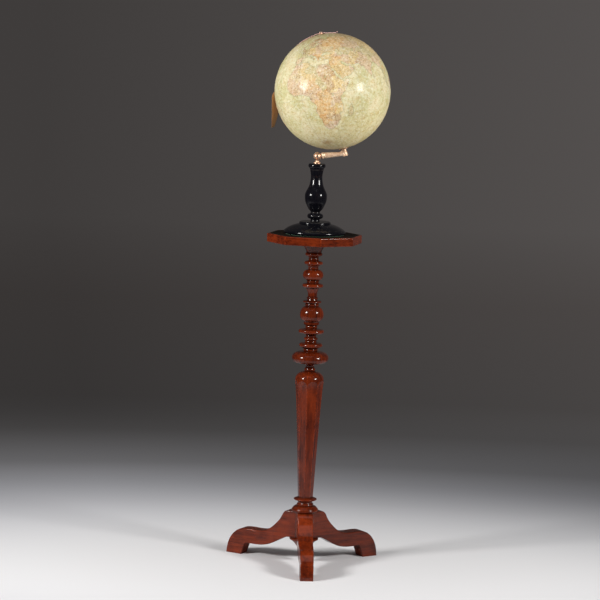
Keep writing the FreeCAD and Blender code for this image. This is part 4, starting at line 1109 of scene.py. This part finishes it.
class GLOBE_PG_string(bpy.types.PropertyGroup):
    """The string and its tag."""

    colour: colour_property("String", "Faded pink cotton", (0.80, 0.47, 0.43))
    card: colour_property("Card", "Manila card of the tag", (0.64, 0.37, 0.19))
    diameter: number_property(
        "Diameter", "Thickness of the string", 0.0016, 0.0005, max=0.004, unit="LENGTH")
    pitch: number_property(
        "Lay", "Length of one turn of the plies", 0.0060, 0.002, max=0.02, unit="LENGTH")
    card_thickness: number_property(
        "Card thickness", "Thickness of the tag", 0.0006, 0.0002, max=0.002, unit="LENGTH")
    tag_twist: number_property(
        "Tag twist", "Turn of the tag's lower end", math.radians(-22.0), -math.pi, max=math.pi,
        unit="ROTATION")
    tag_lean: number_property(
        "Tag lean", "Swing of the tag's lower end away from the globe", 0.009, 0.0, max=0.03, unit="LENGTH")
    tag_curl: number_property(
        "Tag curl", "Rise of the tag's long edges", 0.0014, 0.0, max=0.01, unit="LENGTH")


class GLOBE_PG_stage(bpy.types.PropertyGroup):
    """Floor, lamps and camera."""

    floor_radius: number_property(
        "Floor radius", "Reach of the flat floor before it curves up", 11.0, 2.0, unit="LENGTH")
    lamp_power: number_property("Soft boxes", "Power of each soft box", 62.0, 0.0, unit="POWER")
    lamp_size: number_property("Soft box size", "Side of each soft box", 0.62, 0.05, unit="LENGTH")
    fill_power: number_property("Fill", "Power of the overhead fill", 14.0, 0.0, unit="POWER")
    lens: number_property(
        "Lens", "Focal length of the camera in millimetres", 151.84, 10.0, max=400.0)


# ---- operators -----------------------------------------------------------------------------------
def dress(material, *names):
    """Give nodes of the part a finish."""
    for name in names:
        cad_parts[name].material_slots[0].material = material


class GLOBE_OT_torchere(bpy.types.Operator):
    """Finish the mahogany column, top and legs"""

    bl_idname = "globe.torchere"
    bl_label = "Torchere"

    def execute(self, context):
        wood = context.scene.globe_wood
        up = (0.0, 0.0, 1.0)
        dress(mahogany("mahogany_turned", wood, up, quirks=COLUMN_QUIRKS),
              "hub_pendant", "column_collar", "column_disc", "column_ring_lower",
              "column_ring_upper", "column_bulb", "column_baluster", "column_cup", "top_bearer")
        dress(mahogany("mahogany_hub", wood, up, 0.9, 0.31), "hub_block")
        dress(mahogany("mahogany_shaft", wood, up, 1.0, 0.17, SHAFT_TURN, (0.1785, 0.5185)),
              "octagonal_shaft")
        dress(mahogany("mahogany_top", wood, (1.0, 0.0, 0.0), 1.15, 0.53, TOP_TURN), "top_board")
        # The legs are lit and shaded copies of one mahogany: the front and left legs are painted lighter
        # and the right leg darker.
        for name, heading, shade in (("front", -90.0, 1.35), ("right", 30.0, 0.95), ("left", 150.0, 1.40)):
            along = (math.cos(math.radians(heading)), math.sin(math.radians(heading)), 0.0)
            dress(mahogany("mahogany_leg_" + name, wood, along, shade, 0.1 * len(name)), "leg_" + name)
        dress(ebonised_panel("dark_panel"), "top_panel")
        steel = old_metal("screw_steel", (0.36, 0.34, 0.32), (0.17, 0.14, 0.12), 0.34, 300.0)
        dress(steel, *(f"top_screw_{number}" for number in range(1, 5)))
        return {"FINISHED"}


class GLOBE_OT_table_stand(bpy.types.Operator):
    """Finish the ebonised stand and the baize under it"""

    bl_idname = "globe.table_stand"
    bl_label = "Table stand"

    def execute(self, context):
        dress(ebonised_wood("ebonised_wood", context.scene.globe_wood), "stand_base", "stand_column")
        dress(baize("green_baize"), "stand_pad")
        return {"FINISHED"}


class GLOBE_OT_brass_arm(bpy.types.Operator):
    """Finish the brass arm, ferrule, knuckle and pole fittings, and the steel pin and rod"""

    bl_idname = "globe.brass_arm"
    bl_label = "Brass arm"

    def execute(self, context):
        brass = old_metal("lacquered_brass", (0.80, 0.52, 0.36), (0.50, 0.28, 0.17), 0.30, 150.0, 0.85)
        dress(brass, "stand_ferrule", "knuckle_fork", "arm_pin", "pole_dish", "pole_washer",
              "finial_nut", "bush_north", "bush_south")
        dress(old_metal("rubbed_brass", (0.84, 0.62, 0.44), (0.60, 0.38, 0.24), 0.36, 110.0, 0.5),
              "arm_casting")
        steel = old_metal("rod_steel", (0.42, 0.39, 0.36), (0.20, 0.16, 0.13), 0.30, 260.0)
        dress(steel, "pivot_pin", "axis_rod")
        return {"FINISHED"}


class GLOBE_OT_paper_globe(bpy.types.Operator):
    """Cover the globe with twelve gores and two calottes of the map"""

    bl_idname = "globe.paper_globe"
    bl_label = "Paper globe"

    def execute(self, context):
        chart = context.scene.globe_chart
        paper = map_paper("map_paper", chart)
        surveyed = survey()
        width = 360.0 / GORE_COUNT
        latitudes = np.linspace(-CALOTTE_LATITUDE, CALOTTE_LATITUDE, chart.rows + 1)
        for number in range(1, GORE_COUNT + 1):
            wests = np.linspace(width * (number - 1), width * number, chart.columns + 1)
            piece = paper_shell(f"map_gore_{number:02d}", wests, latitudes, False, surveyed, paper)
            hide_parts(f"gore_{number:02d}")
        edge = math.degrees(math.acos(POLE_HOLE_RADIUS / GLOBE_RADIUS))
        wests = np.linspace(0.0, 360.0, 144, endpoint=False)
        rise = np.linspace(CALOTTE_LATITUDE, edge, 16)
        for name, latitudes in (("north", rise), ("south", -rise[::-1])):
            piece = paper_shell("map_calotte_" + name, wests, latitudes, True, surveyed, paper)
            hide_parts("calotte_" + name)
        for part, finish, dark, pale in (
                ("shell_", "pasteboard", (0.16, 0.10, 0.055), (0.36, 0.26, 0.16)),
                ("plug_", "softwood", (0.30, 0.18, 0.09), (0.50, 0.33, 0.19))):
            dress(pasteboard(finish, dark, pale), part + "north", part + "south")
        return {"FINISHED"}


class GLOBE_OT_string(bpy.types.Operator):
    """Lay the pink string over the globe with its loops and knots"""

    bl_idname = "globe.string"
    bl_label = "String"

    def execute(self, context):
        string = context.scene.globe_string
        cotton = cotton_string("pink_cotton", string.colour)
        radius = string.diameter / 2.0
        axis = (-math.sin(AXIS_LEAN), 0.0, math.cos(AXIS_LEAN))
        facing = (math.sin(TAG_TURN), -math.cos(TAG_TURN), 0.0)

        def cord(name, path, centre, thickness, closed=True):
            return laid_cord(name, path, centre, thickness, PLIES, string.pitch, closed, "arm", cotton)

        around = ring_path(LOOP_CENTRE, LOOP_RADIUS, axis, 90)
        loop = cord("finial_loop", around, LOOP_CENTRE, radius)
        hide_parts("string_loop")
        around = knot_path(TAIL_KNOT_CENTRE, TAIL_KNOT_SIZE)
        tail_knot = cord("tail_end_knot", around, TAIL_KNOT_CENTRE, TAIL_KNOT_CORD)
        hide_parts("tail_knot")
        around = knot_path(TAG_KNOT_CENTRE, TAG_KNOT_SIZE)
        tag_knot = cord("tag_tie_knot", around, TAG_KNOT_CENTRE, TAG_KNOT_CORD)
        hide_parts("tag_knot")
        around = narrow_loop_path(TAG_LOOP_CENTRE, facing, *TAG_LOOP_HALF_SIZE, 110)
        tag_loop = cord("tag_tie_loop", around, TAG_LOOP_CENTRE, radius * 0.9)
        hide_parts("tag_loop")

        path, length = spline_points("string_line", STRING_ROUTE, STRING_STEP)
        main_run = cord("string_over_globe", path, GLOBE_CENTRE, radius, False)
        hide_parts("string_main")
        path, length = spline_points("tail_line", TAIL_ROUTE, STRING_STEP)
        tail = cord("string_tail_end", path, GLOBE_CENTRE, radius, False)
        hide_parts("string_tail")
        return {"FINISHED"}


class GLOBE_OT_tag(bpy.types.Operator):
    """Hang the manila card with its fibre ring"""

    bl_idname = "globe.tag"
    bl_label = "Tag"

    def execute(self, context):
        string = context.scene.globe_string
        card = tag_card("manila_tag", string, manila_card("manila_card", string.card))
        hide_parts("tag_card")
        dress(fibre_ring("fibre_ring"), "tag_eyelet")
        return {"FINISHED"}


class GLOBE_OT_stage(bpy.types.Operator):
    """Set the floor, the two soft boxes, the fill and the camera"""

    bl_idname = "globe.stage"
    bl_label = "Stage"

    CAMERA_PLACE = (-0.3327, -6.6605, 1.5282)
    HEADING = math.radians(2.58)
    PITCH = math.radians(-7.01)
    ROLL = math.radians(2.00)
    LAMP_REACH = 2.5
    LAMP_HEIGHT = 1.66
    FILL_PLACE = (-0.4, -1.0, 4.2)
    FILL_SIZE = 2.4
    AIR_COLOUR = (0.072, 0.068, 0.065)
    FLOOR_RINGS = 40
    FLOOR_SIDES = 96
    FIRST_RING = 0.05
    COVE_RINGS = 8
    COVE_RADIUS = 2.0
    WALL_TOP = 9.0
    # How far the camera is from the object, how its sight drifts sideways with distance, and the
    # furthest to each side that the painted shade of the floor follows.
    EYE_DISTANCE = 6.66
    SIGHT_DRIFT = 0.045
    ASIDE_LIMIT = 0.12
    # Colours of the floor's painted glow, from near the object to far away.
    PAINTED_GLOW_STOPS = [
        (0.0, (0.66, 0.67, 0.71)), (0.0775, (0.54, 0.55, 0.59)), (0.164, (0.262, 0.262, 0.280)),
        (0.204, (0.180, 0.179, 0.189)), (0.241, (0.104, 0.102, 0.106)), (0.31, (0.062, 0.059, 0.059)),
        (0.385, (0.052, 0.048, 0.047)), (0.665, (0.056, 0.050, 0.048)), (1.0, (0.069, 0.063, 0.061)),
    ]

    def execute(self, context):
        stage = context.scene.globe_stage
        self.make_floor(stage)
        self.make_world(context.scene)
        self.make_lamps(stage)
        self.make_camera(context.scene, stage)
        context.scene.view_settings.view_transform = "Standard"
        return {"FINISHED"}

    def make_floor(self, stage):
        """A disc of rings whose radii grow by equal ratios, and which curves up into a round wall."""
        cove = np.linspace(-math.pi / 2.0, 0.0, self.COVE_RINGS + 1)[1:]
        rise = self.COVE_RADIUS
        reach = np.concatenate([[0.0], np.geomspace(self.FIRST_RING, stage.floor_radius, self.FLOOR_RINGS),
                                stage.floor_radius + rise * np.cos(cove), [stage.floor_radius + rise]])
        flat = np.zeros(self.FLOOR_RINGS + 1)
        height = np.concatenate([flat, rise + rise * np.sin(cove), [self.WALL_TOP]])
        angle = np.linspace(0.0, math.tau, self.FLOOR_SIDES, endpoint=False)[None, :]
        points = np.stack([reach[:, None] * np.cos(angle), reach[:, None] * np.sin(angle),
                           height[:, None] + 0.0 * angle], -1)
        quads = grid_quads(len(reach), self.FLOOR_SIDES, True)[:, ::-1]
        floor = new_object("studio_floor", points.reshape(-1, 3), quads, self.floor_finish(), False)

    def floor_finish(self):
        """Paper sweep: lit by the lamps near the object, and beyond it a glow of painted light, a plain
        dark grey that grows paler far away and toward the right, while near the lit part it is paler on the
        left."""
        finish = Finish("studio_paper")
        x, y, _ = finish.split(finish.spot())
        reach = ((x * x) * 0.30 + (y + 0.10) * (y + 0.10)) ** 0.5
        near = finish.add("ShaderNodeBsdfDiffuse", None, {"Color": (0.80, 0.80, 0.82), "Roughness": 0.0})
        # Painted light: the glow falls from pale near the object to dark grey further off, and grows a
        # little paler far away.
        painted_glow = finish.add("ShaderNodeValToRGB", {"stops": self.PAINTED_GLOW_STOPS}, {"Fac": (reach * 0.1) ** 0.75})
        aside = x / (reach + self.EYE_DISTANCE) - self.SIGHT_DRIFT
        aside = aside.most(-self.ASIDE_LIMIT).least(self.ASIDE_LIMIT)
        # Painted light and shade: the glow is paler on the left near the lit part and paler on the right
        # far away.
        shade = 0.5 + aside * (reach.rise(1.2, 2.6) * 2.3 - 1.15)
        painted_glow = finish.mix(shade, (0.0, 0.0, 0.0), painted_glow)
        # The far floor glows with this painted light instead of being lit by the lamps.
        far = finish.add("ShaderNodeEmission", None, {"Color": painted_glow, "Strength": 2.0})
        blended = finish.add("ShaderNodeMixShader", None, {0: reach.rise(0.25, 1.25), 1: near, 2: far})
        finish.add_output(blended)
        return finish.material

    def make_world(self, scene):
        world = bpy.data.worlds.new("studio_air")
        world.use_nodes = True
        sky = world.node_tree.nodes["Background"]
        sky.inputs["Color"].default_value = (*self.AIR_COLOUR, 1.0)
        sky.inputs["Strength"].default_value = 1.0
        scene.world = world

    def make_lamps(self, stage):
        """Two soft boxes to the left and right of the camera, and a broad fill above."""
        for name, heading, power in (("left", -150.66, 1.15), ("right", -37.46, 1.0)):
            heading = math.radians(heading)
            place = np.array([self.LAMP_REACH * math.cos(heading), self.LAMP_REACH * math.sin(heading),
                              self.LAMP_HEIGHT])
            self.make_lamp("soft_box_" + name, place, (0.0, 0.0, 1.0), stage.lamp_size,
                           stage.lamp_power * power, (1.0, 0.985, 0.96))
        self.make_lamp("overhead_fill", np.array(self.FILL_PLACE), (0.0, 0.0, 0.0), self.FILL_SIZE,
                       stage.fill_power, (0.97, 0.98, 1.0))

    def make_lamp(self, name, place, target, size, power, colour):
        light = bpy.data.lights.new(name, "AREA")
        light.shape = "SQUARE"
        light.size = size
        light.energy = power
        light.color = colour
        lamp = bpy.data.objects.new(name, light)
        lamp.location = place.tolist()
        lamp.rotation_mode = "QUATERNION"
        lamp.rotation_quaternion = (Vector(target) - lamp.location).to_track_quat("-Z", "Y")
        lamp.visible_camera = False
        bpy.context.scene.collection.objects.link(lamp)

    def make_camera(self, scene, stage):
        """A camera along a heading from +Y toward +X, pitched down and rolled about its sight."""
        ahead = np.array([math.sin(self.HEADING) * math.cos(self.PITCH),
                          math.cos(self.HEADING) * math.cos(self.PITCH), math.sin(self.PITCH)])
        right = np.array([math.cos(self.HEADING), -math.sin(self.HEADING), 0.0])
        above = np.cross(right, ahead)
        across = math.cos(self.ROLL) * right + math.sin(self.ROLL) * above
        upward = -math.sin(self.ROLL) * right + math.cos(self.ROLL) * above
        camera = bpy.data.objects.new("camera", bpy.data.cameras.new("camera"))
        columns = np.stack([across, upward, -ahead, np.array(self.CAMERA_PLACE)], 1)
        camera.matrix_world = Matrix([*columns.tolist(), [0.0, 0.0, 0.0, 1.0]])
        camera.data.sensor_width = 36.0
        camera.data.lens = stage.lens
        camera.data.clip_end = 200.0
        scene.collection.objects.link(camera)
        scene.camera = camera


class GLOBE_PT_panel(bpy.types.Panel):
    """Lists the pieces of the globe in the sidebar"""

    bl_idname = "GLOBE_PT_panel"
    bl_label = "Globe"
    bl_space_type = "VIEW_3D"
    bl_region_type = "UI"
    bl_category = "Globe"

    def draw(self, context):
        for operator in OPERATORS:
            self.layout.operator(operator.bl_idname)


OPERATORS = (
    GLOBE_OT_stage, GLOBE_OT_string, GLOBE_OT_tag, GLOBE_OT_torchere, GLOBE_OT_table_stand,
    GLOBE_OT_brass_arm, GLOBE_OT_paper_globe,
)
GROUPS = {
    "globe_wood": GLOBE_PG_wood,
    "globe_chart": GLOBE_PG_chart,
    "globe_string": GLOBE_PG_string,
    "globe_stage": GLOBE_PG_stage,
}


def register():
    for group in (*GROUPS.values(), *OPERATORS, GLOBE_PT_panel):
        bpy.utils.register_class(group)
    for name, group in GROUPS.items():
        setattr(bpy.types.Scene, name, bpy.props.PointerProperty(type=group))


def unregister():
    for name in GROUPS:
        delattr(bpy.types.Scene, name)
    for group in (GLOBE_PT_panel, *reversed(OPERATORS), *GROUPS.values()):
        bpy.utils.unregister_class(group)


def main():
    register()
    for operator in OPERATORS:
        space, call = operator.bl_idname.split(".")
        getattr(getattr(bpy.ops, space), call)()


if __name__ == "__main__":
    main()
